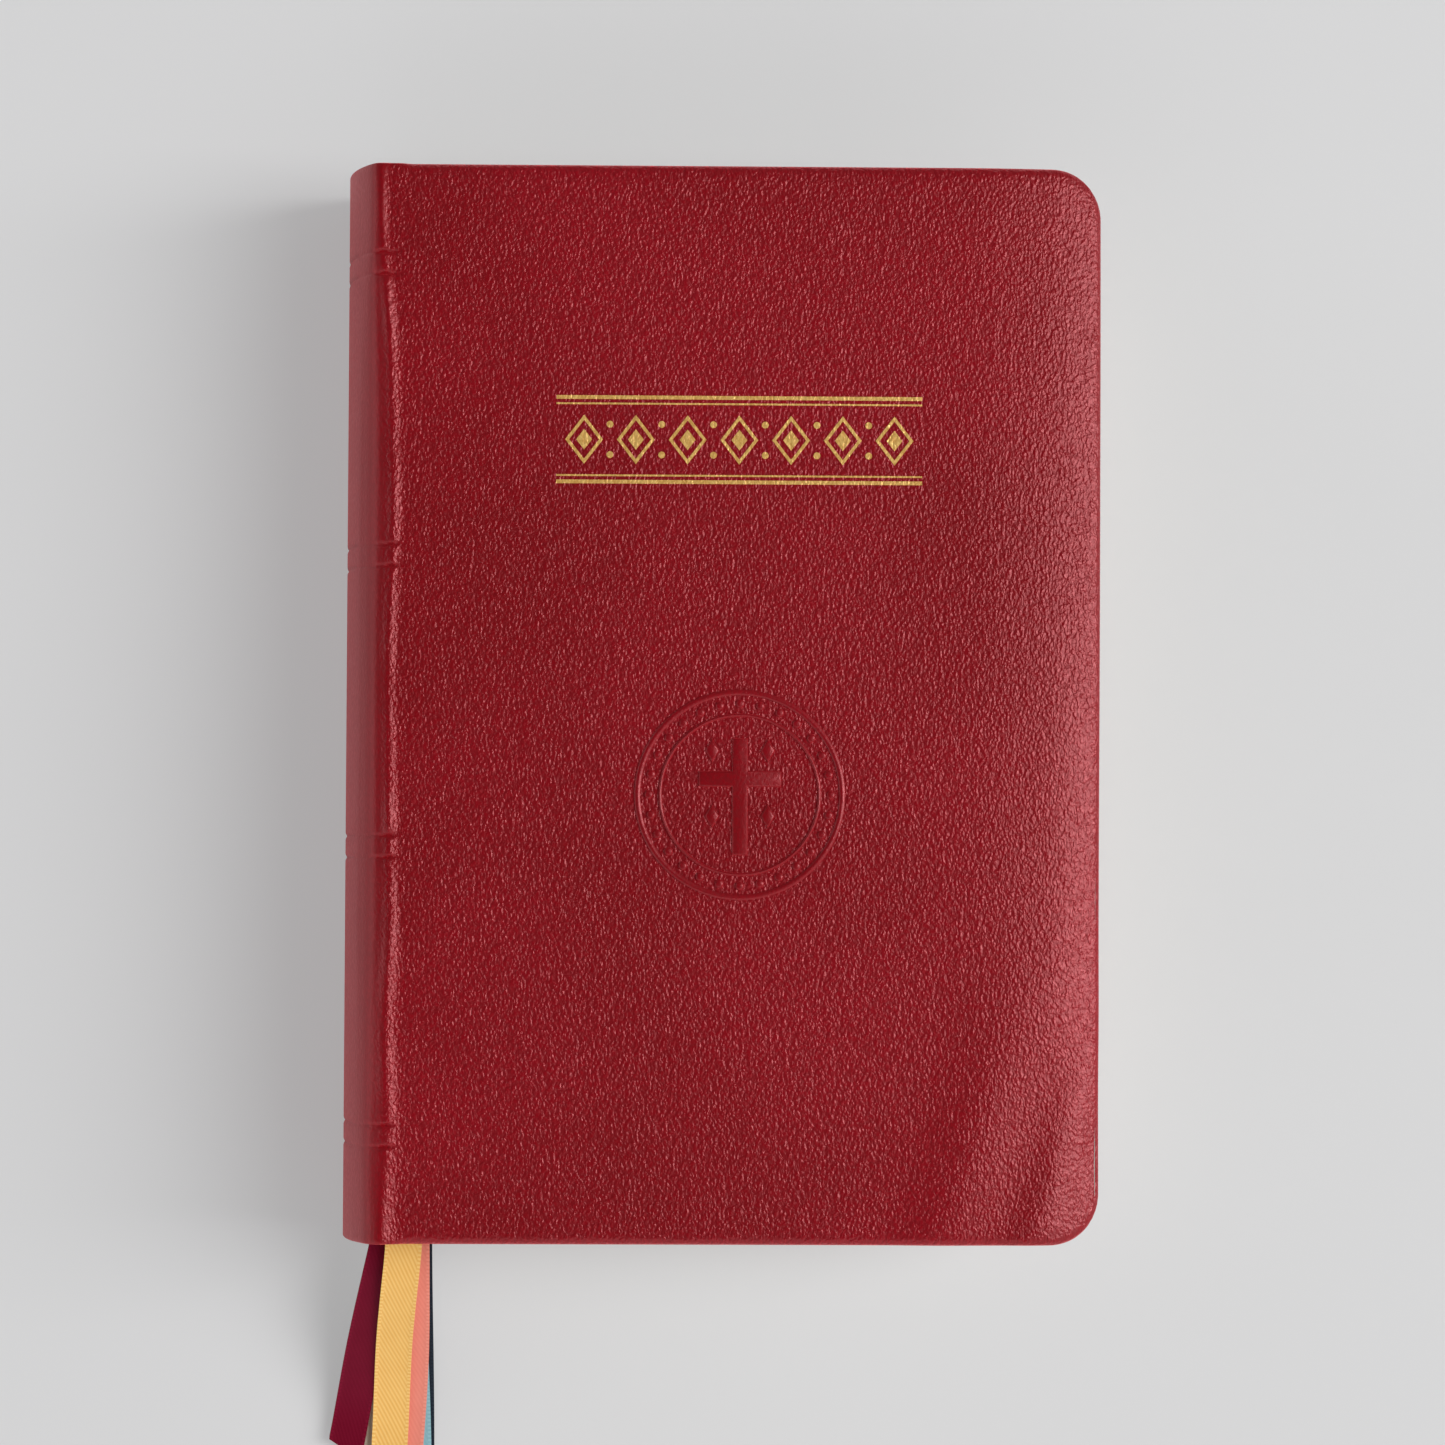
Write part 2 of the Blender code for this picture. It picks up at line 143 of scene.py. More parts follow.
def make_sheet(us, vs, outside, inside=None):
    """A grid with its lines at us and vs, put in place by one function for each face."""
    bm = bmesh.new()
    u_layer = bm.verts.layers.float.new("u")
    v_layer = bm.verts.layers.float.new("v")
    uv_layer = bm.loops.layers.uv.new("UVMap")
    bmesh.ops.create_grid(bm, x_segments=len(us) - 1, y_segments=len(vs) - 1, size=0.5)
    for vert in bm.verts:
        vert[u_layer] = us[round((vert.co.x + 0.5) * (len(us) - 1))]
        vert[v_layer] = vs[round((vert.co.y + 0.5) * (len(vs) - 1))]
    outer_verts = bm.verts[:]
    inner_verts = []
    if inside:
        copied = bmesh.ops.extrude_face_region(bm, geom=bm.faces[:])["geom"]
        inner_verts = [item for item in copied if isinstance(item, bmesh.types.BMVert)]
    for verts, place in ((outer_verts, outside), (inner_verts, inside)):
        for vert in verts:
            vert.co = place(vert[u_layer], vert[v_layer])
    for face in bm.faces:
        for loop in face.loops:
            loop[uv_layer].uv = (loop.vert[u_layer], loop.vert[v_layer])
    bmesh.ops.recalc_face_normals(bm, faces=bm.faces[:])
    return bm


def lines(start, end, spacing):
    """Evenly spaced grid lines from start to end, about one spacing apart."""
    return list(np.linspace(start, end, max(round(abs(end - start) / spacing), 1) + 1))


def join_lines(*groups, least=0.02 * MM):
    """Several groups of grid lines as one rising list, no two closer than the least gap."""
    merged = sorted(value for group in groups for value in group)
    return [v for v, before in zip(merged, [-2.0] + merged) if v - before > least]


# %% Helpers that make materials
NOISE_RANGE = (0.3, 0.7)


def add_node(tree, kind, inputs=None, **settings):
    """Add a shader node, set its options, and feed each socket with a value or from another socket."""
    made = tree.nodes.new("ShaderNode" + kind)
    for name, value in settings.items():
        setattr(made, name, value)
    for name, value in (inputs or {}).items():
        if isinstance(value, bpy.types.NodeSocket):
            tree.links.new(value, made.inputs[name])
        else:
            made.inputs[name].default_value = value
    return made


def calculate(tree, operation, *values):
    """The result of one Math node."""
    return add_node(tree, "Math", dict(enumerate(values)), operation=operation).outputs[0]


def remap(tree, value, low, high, to_low=0.0, to_high=1.0):
    """A value brought from one range to another, with soft ends."""
    settings = {"Value": value, "From Min": low, "From Max": high, "To Min": to_low, "To Max": to_high}
    return add_node(tree, "MapRange", settings, interpolation_type="SMOOTHSTEP").outputs[0]


def mix_colours(tree, factor, first, second):
    return add_node(tree, "Mix", {0: factor, 6: first, 7: second}, data_type="RGBA").outputs[2]


def new_material(name):
    material = bpy.data.materials.new(name)
    material.use_nodes = True
    tree = material.node_tree
    return material, tree, tree.nodes["Principled BSDF"]


def new_group(name, inputs, outputs):
    """An empty node group with named sockets, and its input and output nodes."""
    tree = bpy.data.node_groups.new(name, "ShaderNodeTree")
    for label, kind in inputs:
        tree.interface.new_socket(label, in_out="INPUT", socket_type="NodeSocket" + kind)
    for label, kind in outputs:
        tree.interface.new_socket(label, in_out="OUTPUT", socket_type="NodeSocket" + kind)
    return tree, tree.nodes.new("NodeGroupInput").outputs, tree.nodes.new("NodeGroupOutput").inputs


def use_group(tree, group, inputs):
    return add_node(tree, "Group", inputs, node_tree=group).outputs


def object_place(tree):
    return add_node(tree, "TexCoord").outputs["Object"]


def sheet_place(tree):
    """The place on a sheet, from its UV map: u across it and v along it."""
    return add_node(tree, "UVMap", uv_map="UVMap").outputs["UV"]


def speckle(tree, place, scale, detail):
    """Noise between 0 and 1, mostly within NOISE_RANGE."""
    return add_node(tree, "TexNoise", {"Vector": place, "Scale": scale, "Detail": detail}).outputs["Fac"]


def sine_wave(tree, value, length):
    """A wave between -1 and 1 that repeats after a length."""
    return calculate(tree, "SINE", calculate(tree, "MULTIPLY", value, math.tau / length))


def combine(tree, operation, first, second):
    """The result of one Vector Math node on two vectors."""
    return add_node(tree, "VectorMath", {0: first, 1: second}, operation=operation).outputs[0]


def set_surface(tree, shader, colour, roughness, height, depth, strength=1.0):
    """Feed a shader its colour, its roughness and a relief of a depth in metres."""
    bump = add_node(tree, "Bump", {"Height": height, "Strength": strength, "Distance": depth})
    surface = {"Base Color": colour, "Roughness": roughness, "Normal": bump.outputs["Normal"]}
    for name, socket in surface.items():
        tree.links.new(socket, shader.inputs[name])


# %% [markdown]
# ## Camera
#
# The photograph looks straight down with a long lens. Its frame is square. The place and the small
# tilts below put the four edges of the cover where the photograph has them.

# %% Camera above the book
PHOTO_PIXELS = 1445
FOCAL_PIXELS = 4413
SENSOR_MM = 36
CAMERA_PLACE = (-12.7 * MM, -26.0 * MM, 733.3 * MM)
CAMERA_TILTS = (1.878, -1.053, 0.25)
CLIP_START = 0.02

camera_data = bpy.data.cameras.new("camera_above")
camera_data.sensor_width = SENSOR_MM
camera_data.lens = FOCAL_PIXELS / PHOTO_PIXELS * SENSOR_MM
camera_data.clip_start = CLIP_START
camera = bpy.data.objects.new("camera_above", camera_data)
camera.location = CAMERA_PLACE
camera.rotation_euler = [math.radians(angle) for angle in CAMERA_TILTS]
scene = bpy.context.scene
scene.collection.objects.link(camera)
scene.camera = camera
scene.view_settings.view_transform = "Standard"
print("lens in mm:", round(camera_data.lens, 1))

# %% [markdown]
# ## Table and light
#
# The book lies on a pale grey table. One tall soft lamp stands to the right, a little towards the head,
# so a faint shadow falls to the left. A broad, weak strip lamp, low at the left, fills the side of the
# spine. The room gives the rest: it is bright at the sides and dim right overhead, and that is why flat
# leather looks deep red while every slope carries a pale gleam. The table is partly an even backdrop,
# seen by the camera and in reflections only, so that shadows stay faint without more light on the book.

# %% Pale table
TABLE_SIZE = 3.0
BACKDROP_SHARE = 0.45
TABLE_SHADE = (0.685, 0.685, 0.69, 1)
TABLE_GREY = (0.70, 0.70, 0.705, 1)
TABLE_CLOUD_SCALE, TABLE_FIBRE_SCALE = 9.0, 900.0
TABLE_ROUGHNESS = (0.75, 0.9)

table_finish, tree, shader = new_material("pale_table")
place = object_place(tree)
cloud = speckle(tree, place, TABLE_CLOUD_SCALE, 3.0)
fibre = speckle(tree, place, TABLE_FIBRE_SCALE, 2.0)
table_tone = mix_colours(tree, remap(tree, cloud, *NOISE_RANGE), TABLE_SHADE, TABLE_GREY)
tree.links.new(table_tone, shader.inputs["Base Color"])
tree.links.new(remap(tree, fibre, 0.2, 0.8, *TABLE_ROUGHNESS), shader.inputs["Roughness"])
shader.inputs["Specular IOR Level"].default_value = 0.2
paths = add_node(tree, "LightPath").outputs
seen = calculate(tree, "MAXIMUM", paths["Is Camera Ray"], paths["Is Glossy Ray"])
seen = calculate(tree, "MAXIMUM", seen, paths["Is Transmission Ray"])
backdrop = add_node(tree, "Emission", {"Color": TABLE_GREY})
mixed = add_node(tree, "MixShader", {0: calculate(tree, "MULTIPLY", seen, BACKDROP_SHARE)})
tree.links.new(shader.outputs[0], mixed.inputs[1])
tree.links.new(backdrop.outputs[0], mixed.inputs[2])
tree.links.new(mixed.outputs[0], tree.nodes["Material Output"].inputs["Surface"])

bm = bmesh.new()
bmesh.ops.create_grid(bm, x_segments=1, y_segments=1, size=TABLE_SIZE / 2)
table = add_piece("table", bm, table_finish)

# %% Room and lamps
KEY_DISTANCE = 2.5
KEY_SIZE = (0.9, 2.4)
KEY_FROM_ABOVE = 45
KEY_TURN = 4
KEY_WATTS = 49.0
STRIP_SIZE = (3.0, 1.6)
STRIP_DISTANCE = 1.8
STRIP_FROM_ABOVE = 85
STRIP_TURN = 180
STRIP_WATTS = 18.0
ROOM_LIGHT = ((0.0, 0.24), (0.25, 0.45), (0.4, 0.85), (0.72, 0.85), (0.84, 0.03), (1.0, 0.015))
DIM_SIDE, LIT_SIDE = 0.16, 1.42
SIDE_FADE = 0.6
LIT_TURN = -50

room = bpy.data.worlds.new("studio_room")
room.use_nodes = True
scene.world = room
tree = room.node_tree
direction = add_node(tree, "TexCoord").outputs["Generated"]
toward = add_node(tree, "SeparateXYZ", {0: direction}).outputs
ramp = add_node(tree, "ValToRGB", {0: toward["Z"]})
stops = ramp.color_ramp.elements
while len(stops) < len(ROOM_LIGHT):
    stops.new(1.0)
for stop, (position, level) in zip(stops, ROOM_LIGHT):
    stop.position = position
    stop.color = (level, level, level, 1)
tree.links.new(ramp.outputs["Color"], tree.nodes["Background"].inputs["Color"])
lit = math.radians(LIT_TURN)
lit_side = {0: direction, 1: (math.cos(lit), math.sin(lit), 0)}
facing = add_node(tree, "VectorMath", lit_side, operation="DOT_PRODUCT").outputs["Value"]
side_level = remap(tree, facing, -SIDE_FADE, SIDE_FADE, DIM_SIDE, LIT_SIDE)
tree.links.new(side_level, tree.nodes["Background"].inputs["Strength"])


def add_lamp(name, shape, size, watts, distance, from_above, turn):
    """An area lamp that faces the book, from a lean off the vertical and a turn from +X."""
    data = bpy.data.lights.new(name, "AREA")
    data.shape = shape
    data.size, data.size_y = size
    data.energy = watts
    lamp = bpy.data.objects.new(name, data)
    lean, turn = math.radians(from_above), math.radians(turn)
    sideways = math.sin(lean)
    toward_lamp = Vector((sideways * math.cos(turn), sideways * math.sin(turn), math.cos(lean)))
    lamp.location = toward_lamp * distance
    lamp.rotation_euler = toward_lamp.to_track_quat("Z", "Y").to_euler()
    scene.collection.objects.link(lamp)
    print(name, "at:", [round(value, 2) for value in lamp.location])


add_lamp("soft_lamp", "ELLIPSE", KEY_SIZE, KEY_WATTS, KEY_DISTANCE, KEY_FROM_ABOVE, KEY_TURN)
add_lamp("strip_lamp", "RECTANGLE", STRIP_SIZE, STRIP_WATTS, STRIP_DISTANCE, STRIP_FROM_ABOVE, STRIP_TURN)

# %% [markdown]
# ## Satin ribbons
#
# Six ribbon bookmarks are glued at the head, run down between the pages, leave them at the tail and
# sink to the table in a low pile. A ribbon is a flat cord, so its route is settled first: the points
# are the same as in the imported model, in millimetres to the right of the ribbon's lane beside the
# tailband and out from the tail. The strip is a grid along that route, with thicker woven edges.

# %% Ribbon routes
RIBBON_WIDTH = 5.9 * MM
RIBBON = 0.2 * MM
RIBBON_GAP = 0.2 * MM
PAGE_GAP = 0.3 * MM
BAND_DIAMETER = 1.2 * MM
FOLD_DEPTH = 2.9 * MM
RIBBON_HEAD_MARGIN = 2 * MM
RIBBON_FALL_START = 3.5 * MM
RIBBON_FALL_LENGTH = 34 * MM
RIBBON_PILE_BASE = 0.3 * MM
RIBBON_PILE_STEP = 0.45 * MM
RIBBON_STEPS = 30
RIBBON_END_SLANT = 2.7 * MM
RIBBON_CUT_LENGTH = 8 * MM
FOLD_RADIUS = SPINE_RADIUS - FOLD_DEPTH

RIBBONS = {
    "gold": [(2.4, 0), (2.2, 6.5), (0.4, 22.5), (-0.6, 40.5), (-1.0, 53.5)],
    "burgundy": [(0.4, 0), (-0.9, 6.5), (-4.7, 22.5), (-7.35, 36), (-7.95, 39.65)],
    "rose": [(2.7, 0), (2.9, 6.5), (2.6, 22.5), (1.4, 40.5), (0.6, 51.5)],
    "cream": [(0, 0), (-0.4, 6.5), (-2.6, 22.5), (-4.9, 40.5), (-6.0, 48.5)],
    "teal": [(0.6, 0), (0.7, 6.5), (1.0, 22.5), (1.5, 40.5), (1.9, 54.5)],
    "navy": [(0.7, 0), (0.7, 6.5), (0.8, 22.5), (0.9, 40.5), (1.1, 50.5)],
}


def arc_x(radius, z):
    """Where a layer of the round spine lies at a height, from the layer's radius."""
    rise = min(abs(z - MID_Z), radius)
    return SPINE_CENTRE_X - math.sqrt(radius ** 2 - rise ** 2)


def smooth_way(points, steps):
    """Points on a smooth curve through a few given points."""
    places = [2 * points[0] - points[1], *points, 2 * points[-1] - points[-2]]
    spans = len(points) - 1
    way = []
    for step in range(steps + 1):
        span = min(int(step * spans / steps), spans - 1)
        t = step * spans / steps - span
        before, start, end, after = places[span:span + 4]
        way.append(
            0.5 * (2 * start + (end - before) * t + (2 * before - 5 * start + 4 * end - after) * t ** 2
                   + (3 * start - before - 3 * end + after) * t ** 3))
    return way


def ribbon_way(plan, height, pile_height, steps):
    """A ribbon's middle line: between the pages, out at the tail and down to the table."""
    lane_x = arc_x(FOLD_RADIUS - BAND_DIAMETER, height) + PAGE_GAP + RIBBON_WIDTH / 2
    free = [Vector((lane_x + x * MM, -PAGE_HALF_HEIGHT - y * MM, height)) for x, y in plan]
    way = [Vector((free[0].x, PAGE_HALF_HEIGHT - RIBBON_HEAD_MARGIN, height))]
    fall_start = free[0].y - RIBBON_FALL_START
    for point in smooth_way(free, steps):
        share = smooth_step(fall_start - point.y, 0, RIBBON_FALL_LENGTH)
        point.z = height + (pile_height - height) * share
        way.append(point)
    return way


def way_length(way):
    return sum((end - start).length for start, end in zip(way, way[1:]))


# %% [markdown]
# ### Satin
#
# Satin ribbon shows fine slanted lines where its threads float, most of all on the gold one, and a row
# of tiny beads along each woven edge. Both follow the ribbon, so the material reads its UV map: u is the
# place across the ribbon and v the place along it, in metres. The weave is one node group for all six
# colours. Its pitches are in metres to the radian of a sine wave.

# %% Satin weave group
TWILL_SLOPE = -1.8
TWILL_PITCH = 0.2 * MM
BEAD_PITCH = 0.105 * MM
SELVEDGE = (0.8, 0.86)
FLOAT_RISE = 0.55

weave, given, result = new_group(
    "satin_weave",
    [("UV", "Vector"), ("Half Width", "Float"), ("Pitch", "Float")],
    [("Float", "Float"), ("Edge", "Float"), ("Height", "Float")])
along = add_node(weave, "SeparateXYZ", {0: given["UV"]})
across_u, along_v = along.outputs["X"], along.outputs["Y"]
slant = calculate(weave, "MULTIPLY_ADD", across_u, TWILL_SLOPE, along_v)
phase = calculate(weave, "DIVIDE", slant, given["Pitch"])
floats = calculate(weave, "MULTIPLY_ADD", calculate(weave, "SINE", phase), 0.5, 0.5)
from_middle = calculate(weave, "DIVIDE", calculate(weave, "ABSOLUTE", across_u), given["Half Width"])
selvedge = remap(weave, from_middle, *SELVEDGE)
bead_phase = calculate(weave, "DIVIDE", along_v, BEAD_PITCH)
beads = calculate(weave, "MULTIPLY_ADD", calculate(weave, "SINE", bead_phase), 0.5, 0.5)
body = calculate(weave, "MULTIPLY", floats, calculate(weave, "SUBTRACT", 1.0, selvedge))
edge = calculate(weave, "MULTIPLY", beads, selvedge)
weave.links.new(body, result["Float"])
weave.links.new(edge, result["Edge"])
raised_body = calculate(weave, "MULTIPLY", body, FLOAT_RISE)
weave.links.new(calculate(weave, "ADD", raised_body, edge), result["Height"])

# %% Satin finishes
SATIN_COLOURS = {
    "gold": ((0.84, 0.43, 0.10, 1), (0.97, 0.62, 0.21, 1)),
    "burgundy": ((0.120, 0.002, 0.012, 1), (0.190, 0.006, 0.024, 1)),
    "rose": ((0.80, 0.22, 0.165, 1), (0.92, 0.33, 0.255, 1)),
    "cream": ((0.80, 0.71, 0.55, 1), (0.92, 0.84, 0.70, 1)),
    "teal": ((0.22, 0.46, 0.53, 1), (0.34, 0.60, 0.67, 1)),
    "navy": ((0.008, 0.011, 0.018, 1), (0.020, 0.027, 0.040, 1)),
}
GOLD_TWILL, PLAIN_TWILL = 0.7, 0.25
SLUB_SCALE = 420.0
SLUB_SHARE = 0.3
SATIN_ROUGHNESS = (0.36, 0.46)
SATIN_DEPTH = 0.06 * MM
SATIN_RELIEF = 0.5


def make_satin(colour):
    """The finish of one ribbon: its two tones, the twill and the beaded edges."""
    deep, bright = SATIN_COLOURS[colour]
    material, tree, shader = new_material(f"{colour}_satin")
    uv = sheet_place(tree)
    threads = use_group(tree, weave, {"UV": uv, "Half Width": RIBBON_WIDTH / 2, "Pitch": TWILL_PITCH})
    slub = speckle(tree, uv, SLUB_SCALE, 3.0)
    twill = GOLD_TWILL if colour == "gold" else PLAIN_TWILL
    even = calculate(tree, "MULTIPLY_ADD", slub, SLUB_SHARE, (GOLD_TWILL - twill) / 2)
    tone = calculate(tree, "MULTIPLY_ADD", threads["Float"], twill, even)
    shade = mix_colours(tree, calculate(tree, "ADD", tone, threads["Edge"]), deep, bright)
    roughness = remap(tree, threads["Float"], 0, 1, *SATIN_ROUGHNESS)
    strength = SATIN_RELIEF * twill / GOLD_TWILL
    set_surface(tree, shader, shade, roughness, threads["Height"], SATIN_DEPTH, strength)
    brightest = max(bright[:3])
    tint = [math.sqrt(channel / brightest) for channel in bright[:3]]
    shader.inputs["Specular IOR Level"].default_value = 0.25
    shader.inputs["Specular Tint"].default_value = [*tint, 1]
    return material


# %% Lay the ribbons
ACROSS_SHARES = (-1, -0.94, -0.84, -0.6, -0.2, 0.2, 0.6, 0.84, 0.94, 1)
ACROSS_LINES = [share * RIBBON_WIDTH / 2 for share in ACROSS_SHARES]
STRIP_STEPS = 110
EDGE_SWELL = 0.06 * MM
SWELL_SPAN = (0.8 * RIBBON_WIDTH / 2, 0.92 * RIBBON_WIDTH / 2)


def strip_frames(way):
    """At each point of a way: how far along it is, the point, the way across, the way up and ahead."""
    frames = []
    run = 0.0
    for number, point in enumerate(way):
        run += (point - way[number - 1]).length if number else 0.0
        ahead = (way[min(number + 1, len(way) - 1)] - way[max(number - 1, 0)]).normalized()
        across = Vector((0, 0, 1)).cross(ahead).normalized()
        frames.append((run, point, across, ahead.cross(across), ahead))
    return frames


def make_strip(way, width_lines, thickness):
    """A ribbon along a way, a little thicker at its woven edges, with its far end cut on the slant."""
    frames = {run: rest for run, *rest in strip_frames(way)}
    end = max(frames)

    def face(side):
        def place(u, v):
            run = min(frames, key=lambda known: abs(known - v))
            point, across, up, ahead = frames[run]
            swell = EDGE_SWELL * smooth_step(abs(u), *SWELL_SPAN)
            cut = RIBBON_END_SLANT * u / RIBBON_WIDTH * max(1 - (end - run) / RIBBON_CUT_LENGTH, 0)
            return point + across * u + up * side * (thickness / 2 - EDGE_SWELL + swell) + ahead * cut
        return place

    return make_sheet(width_lines, list(frames), face(1), face(-1))


for number, (colour, plan) in enumerate(RIBBONS.items()):
    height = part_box(f"back_section_{number + 1}")[1].z + RIBBON_GAP + RIBBON / 2
    pile_height = RIBBON_PILE_BASE + (len(RIBBONS) - 1 - number) * RIBBON_PILE_STEP
    way = ribbon_way(plan, height, pile_height, RIBBON_STEPS)
    strip = make_strip(ribbon_way(plan, height, pile_height, STRIP_STEPS), ACROSS_LINES, RIBBON)
    ribbon = add_piece(f"{colour}_satin_ribbon", strip, make_satin(colour))
    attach(ribbon, "back_half")
    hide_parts(f"{colour}_ribbon")
    print(colour, "ribbon, length in mm:", round(way_length(way) / MM, 1))

# %% [markdown]
# ## Red grained leather
#
# The case is one limp skin of goat-like leather. Close up it is covered with soft little pillows and
# waves, a bit longer along the book than across it, and here and there a longer crease runs between them.
# A smooth Voronoi texture gives the pillows, noise the waves, and a second Voronoi texture the creases.
# More noise bends them all, and a bump turns them into relief. Object coordinates keep the grain
# continuous where one piece meets the next. On the spine the leather is pulled taut, so its grain is
# flatter there: the UV map says how far across the sheet a place is. A red sheen lights steep sides.

# %% Leather grain group
PILLOW_STRETCH = (1.5, 0.95, 1.5)
PILLOW_SHARE = 0.5
WAVE_SHARE = 1.9
CREASE_SHARE = 0.3
PORE_SHARE = 0.15
PILLOW_SOFTNESS = 0.35
DRIFT_SCALE, PATCH_SCALE, PORE_SCALE = 620.0, 160.0, 2300.0
NET_SHARE = 0.36
PATCH_RANGE = (0.42, 0.62)

grain, given, result = new_group(
    "leather_grain",
    [("Place", "Vector"), ("Scale", "Float"), ("Wander", "Float")],
    [("Height", "Float"), ("Crease", "Float")])
place, scale = given["Place"], given["Scale"]
drift = add_node(grain, "TexNoise", {"Vector": place, "Scale": DRIFT_SCALE, "Detail": 2.0}).outputs["Color"]
push = combine(grain, "SUBTRACT", drift, (0.5, 0.5, 0.5))
push = add_node(grain, "VectorMath", {0: push, "Scale": given["Wander"]}, operation="SCALE").outputs[0]
bent = combine(grain, "ADD", place, push)
drawn = combine(grain, "MULTIPLY", bent, PILLOW_STRETCH)
pillow_inputs = {"Vector": drawn, "Scale": scale, "Smoothness": PILLOW_SOFTNESS}
cells = add_node(grain, "TexVoronoi", pillow_inputs, feature="SMOOTH_F1")
pillows = remap(grain, cells.outputs["Distance"], 0.0, 0.75, 1.0, 0.0)
waves = speckle(grain, drawn, scale, 1.0)
net_scale = calculate(grain, "MULTIPLY", scale, NET_SHARE)
net = add_node(grain, "TexVoronoi", {"Vector": bent, "Scale": net_scale}, feature="DISTANCE_TO_EDGE")
net_lines = remap(grain, net.outputs["Distance"], 0.0, 0.1, 1.0, 0.0)
patches = speckle(grain, place, PATCH_SCALE, 3.0)
creases = calculate(grain, "MULTIPLY", net_lines, remap(grain, patches, *PATCH_RANGE))
pores = speckle(grain, place, PORE_SCALE, 2.0)
relief = calculate(grain, "MULTIPLY", pillows, PILLOW_SHARE)
relief = calculate(grain, "MULTIPLY_ADD", waves, WAVE_SHARE, relief)
relief = calculate(grain, "MULTIPLY_ADD", creases, -CREASE_SHARE, relief)
relief = calculate(grain, "MULTIPLY_ADD", pores, PORE_SHARE, relief)
grain.links.new(relief, result["Height"])
grain.links.new(calculate(grain, "SUBTRACT", 1.0, pillows), result["Crease"])

# %% Leather finish
LEATHER_DEEP = (0.200, 0.0008, 0.0042, 1)
LEATHER_RED = (0.250, 0.0018, 0.0074, 1)
# Painted shade: the dark colour that the grain's creases are darkened towards, and how far.
LEATHER_CREASE_SHADE = (0.100, 0.0004, 0.0020, 1)
CREASE_SHADE_DEPTH = 0.3
GRAIN_SCALE = 1350.0
GRAIN_WANDER = 0.8 * MM
GRAIN_DEPTH = 0.095 * MM
DYE_CLOUD_SCALE = 24.0
LEATHER_ROUGHNESS = (0.28, 0.36)
SPINE_TAUT, COVER_SLACK = -54.5 * MM, -51.8 * MM
TAUT_GRAIN = 0.2

red_leather, tree, shader = new_material("red_grained_leather")
place = object_place(tree)
pebbles = use_group(tree, grain, {"Place": place, "Scale": GRAIN_SCALE, "Wander": GRAIN_WANDER})
cloud = speckle(tree, place, DYE_CLOUD_SCALE, 3.0)
tone = mix_colours(tree, remap(tree, cloud, *NOISE_RANGE), LEATHER_DEEP, LEATHER_RED)
# Painted shade: the leather's colour darkens in the creases between the pillows of the grain.
painted_crease_shade = remap(tree, pebbles["Crease"], 0.5, 1.0, 0.0, CREASE_SHADE_DEPTH)
roughness = remap(tree, pebbles["Crease"], 0.0, 1.0, *LEATHER_ROUGHNESS)
across_sheet = add_node(tree, "SeparateXYZ", {0: sheet_place(tree)}).outputs["X"]
slackness = remap(tree, across_sheet, SPINE_TAUT, COVER_SLACK, TAUT_GRAIN, 1.0)
relief = calculate(tree, "MULTIPLY", pebbles["Height"], slackness)
# The skin's colour with the painted crease shade mixed in.
shaded_skin_tone = mix_colours(tree, painted_crease_shade, tone, LEATHER_CREASE_SHADE)
set_surface(tree, shader, shaded_skin_tone, roughness, relief, GRAIN_DEPTH)
shader.inputs["Specular Tint"].default_value = (1.0, 0.39, 0.41, 1)
shader.inputs["Specular IOR Level"].default_value = 0.8
shader.inputs["Sheen Weight"].default_value = 0.8
shader.inputs["Sheen Roughness"].default_value = 0.5
shader.inputs["Sheen Tint"].default_value = (1.0, 0.08, 0.10, 1)

# %% [markdown]
# ### Covers
#
# A cover is leather folded round a thin board, so its free edges are round and its inner face has a
# border of turned-in leather. The same sheet runs on over the shoulder and a little way down the
# spine, because the joint has to bend without a gap. The shoulder leans down from the joint, more and more
# steeply, and on the front a soft ridge follows the joint. The front cover sinks towards the fore edge,
# and its lower corner has a slack wave, as limp leather does.

# %% Shape of the covers
RIM = 1.3 * MM
RIM_MARGIN = 0.04 * MM
RIM_SHARES = [1 - math.sin(math.radians(angle)) for angle in (90, 67.5, 45, 22.5, 0)]
SHOULDER_IN = 4.4 * MM
END_SOFTNESS, MIDDLE_SOFTNESS = 0.4 * MM, 1.0 * MM
LEAN_DROP = 1.3 * MM
LEAN_LENGTH = 3.9 * MM
LEAN_POWER = 2.4
SEAM_FADE = 1.3 * MM
SEAM_SOFTNESS = 0.05
END_SPAN = (45 * MM, 80 * MM)
TAIL_SPAN = (20 * MM, 80 * MM)
ROUND_RADIUS = ((MID_Z - SHOULDER_DROP) ** 2 + SHOULDER_IN ** 2) / (2 * SHOULDER_IN)
ROUND_CENTRE_X = SPINE_X + ROUND_RADIUS
SEAM_ANGLE = math.radians(20)
SEAM_X = ROUND_CENTRE_X - ROUND_RADIUS * math.cos(SEAM_ANGLE)
RIDGE = 0.5 * MM
RIDGE_WIDTH = 0.85 * MM
RIDGE_BACK = 0.3 * MM
RIDGE_TURN = 2.0 * MM
RIDGE_WANDER = 0.7 * MM
RIDGE_TAIL = 0.7 * MM
RIDGE_TURN_START = 45 * MM
RIDGE_LEAST, RIDGE_SWELL = 0.75, 0.5
TAIL_RISE, TAIL_SPREAD = 0.35, 0.75
BOARD_SPAN = (JOINT_X + 0.5 * MM, JOINT_X + 3 * MM)
WINDOW_INSET = 8 * MM
WINDOW_THICKNESS = 2.1 * MM
WINDOW_SPAN = (WINDOW_INSET - 0.5 * MM, WINDOW_INSET + 0.3 * MM)
RULE_BANDS = [y * MM for y in (-68.5, -22.9, 23.2, 69.6)]
RULE_SPREAD = 1.7 * MM
RULE_WIDTH = 0.3 * MM
RULE_DEPTH = 0.24 * MM
RULE_NOTCH = 1.6
RULE_FADE = (JOINT_X - 0.5 * MM, JOINT_X + 1.5 * MM)
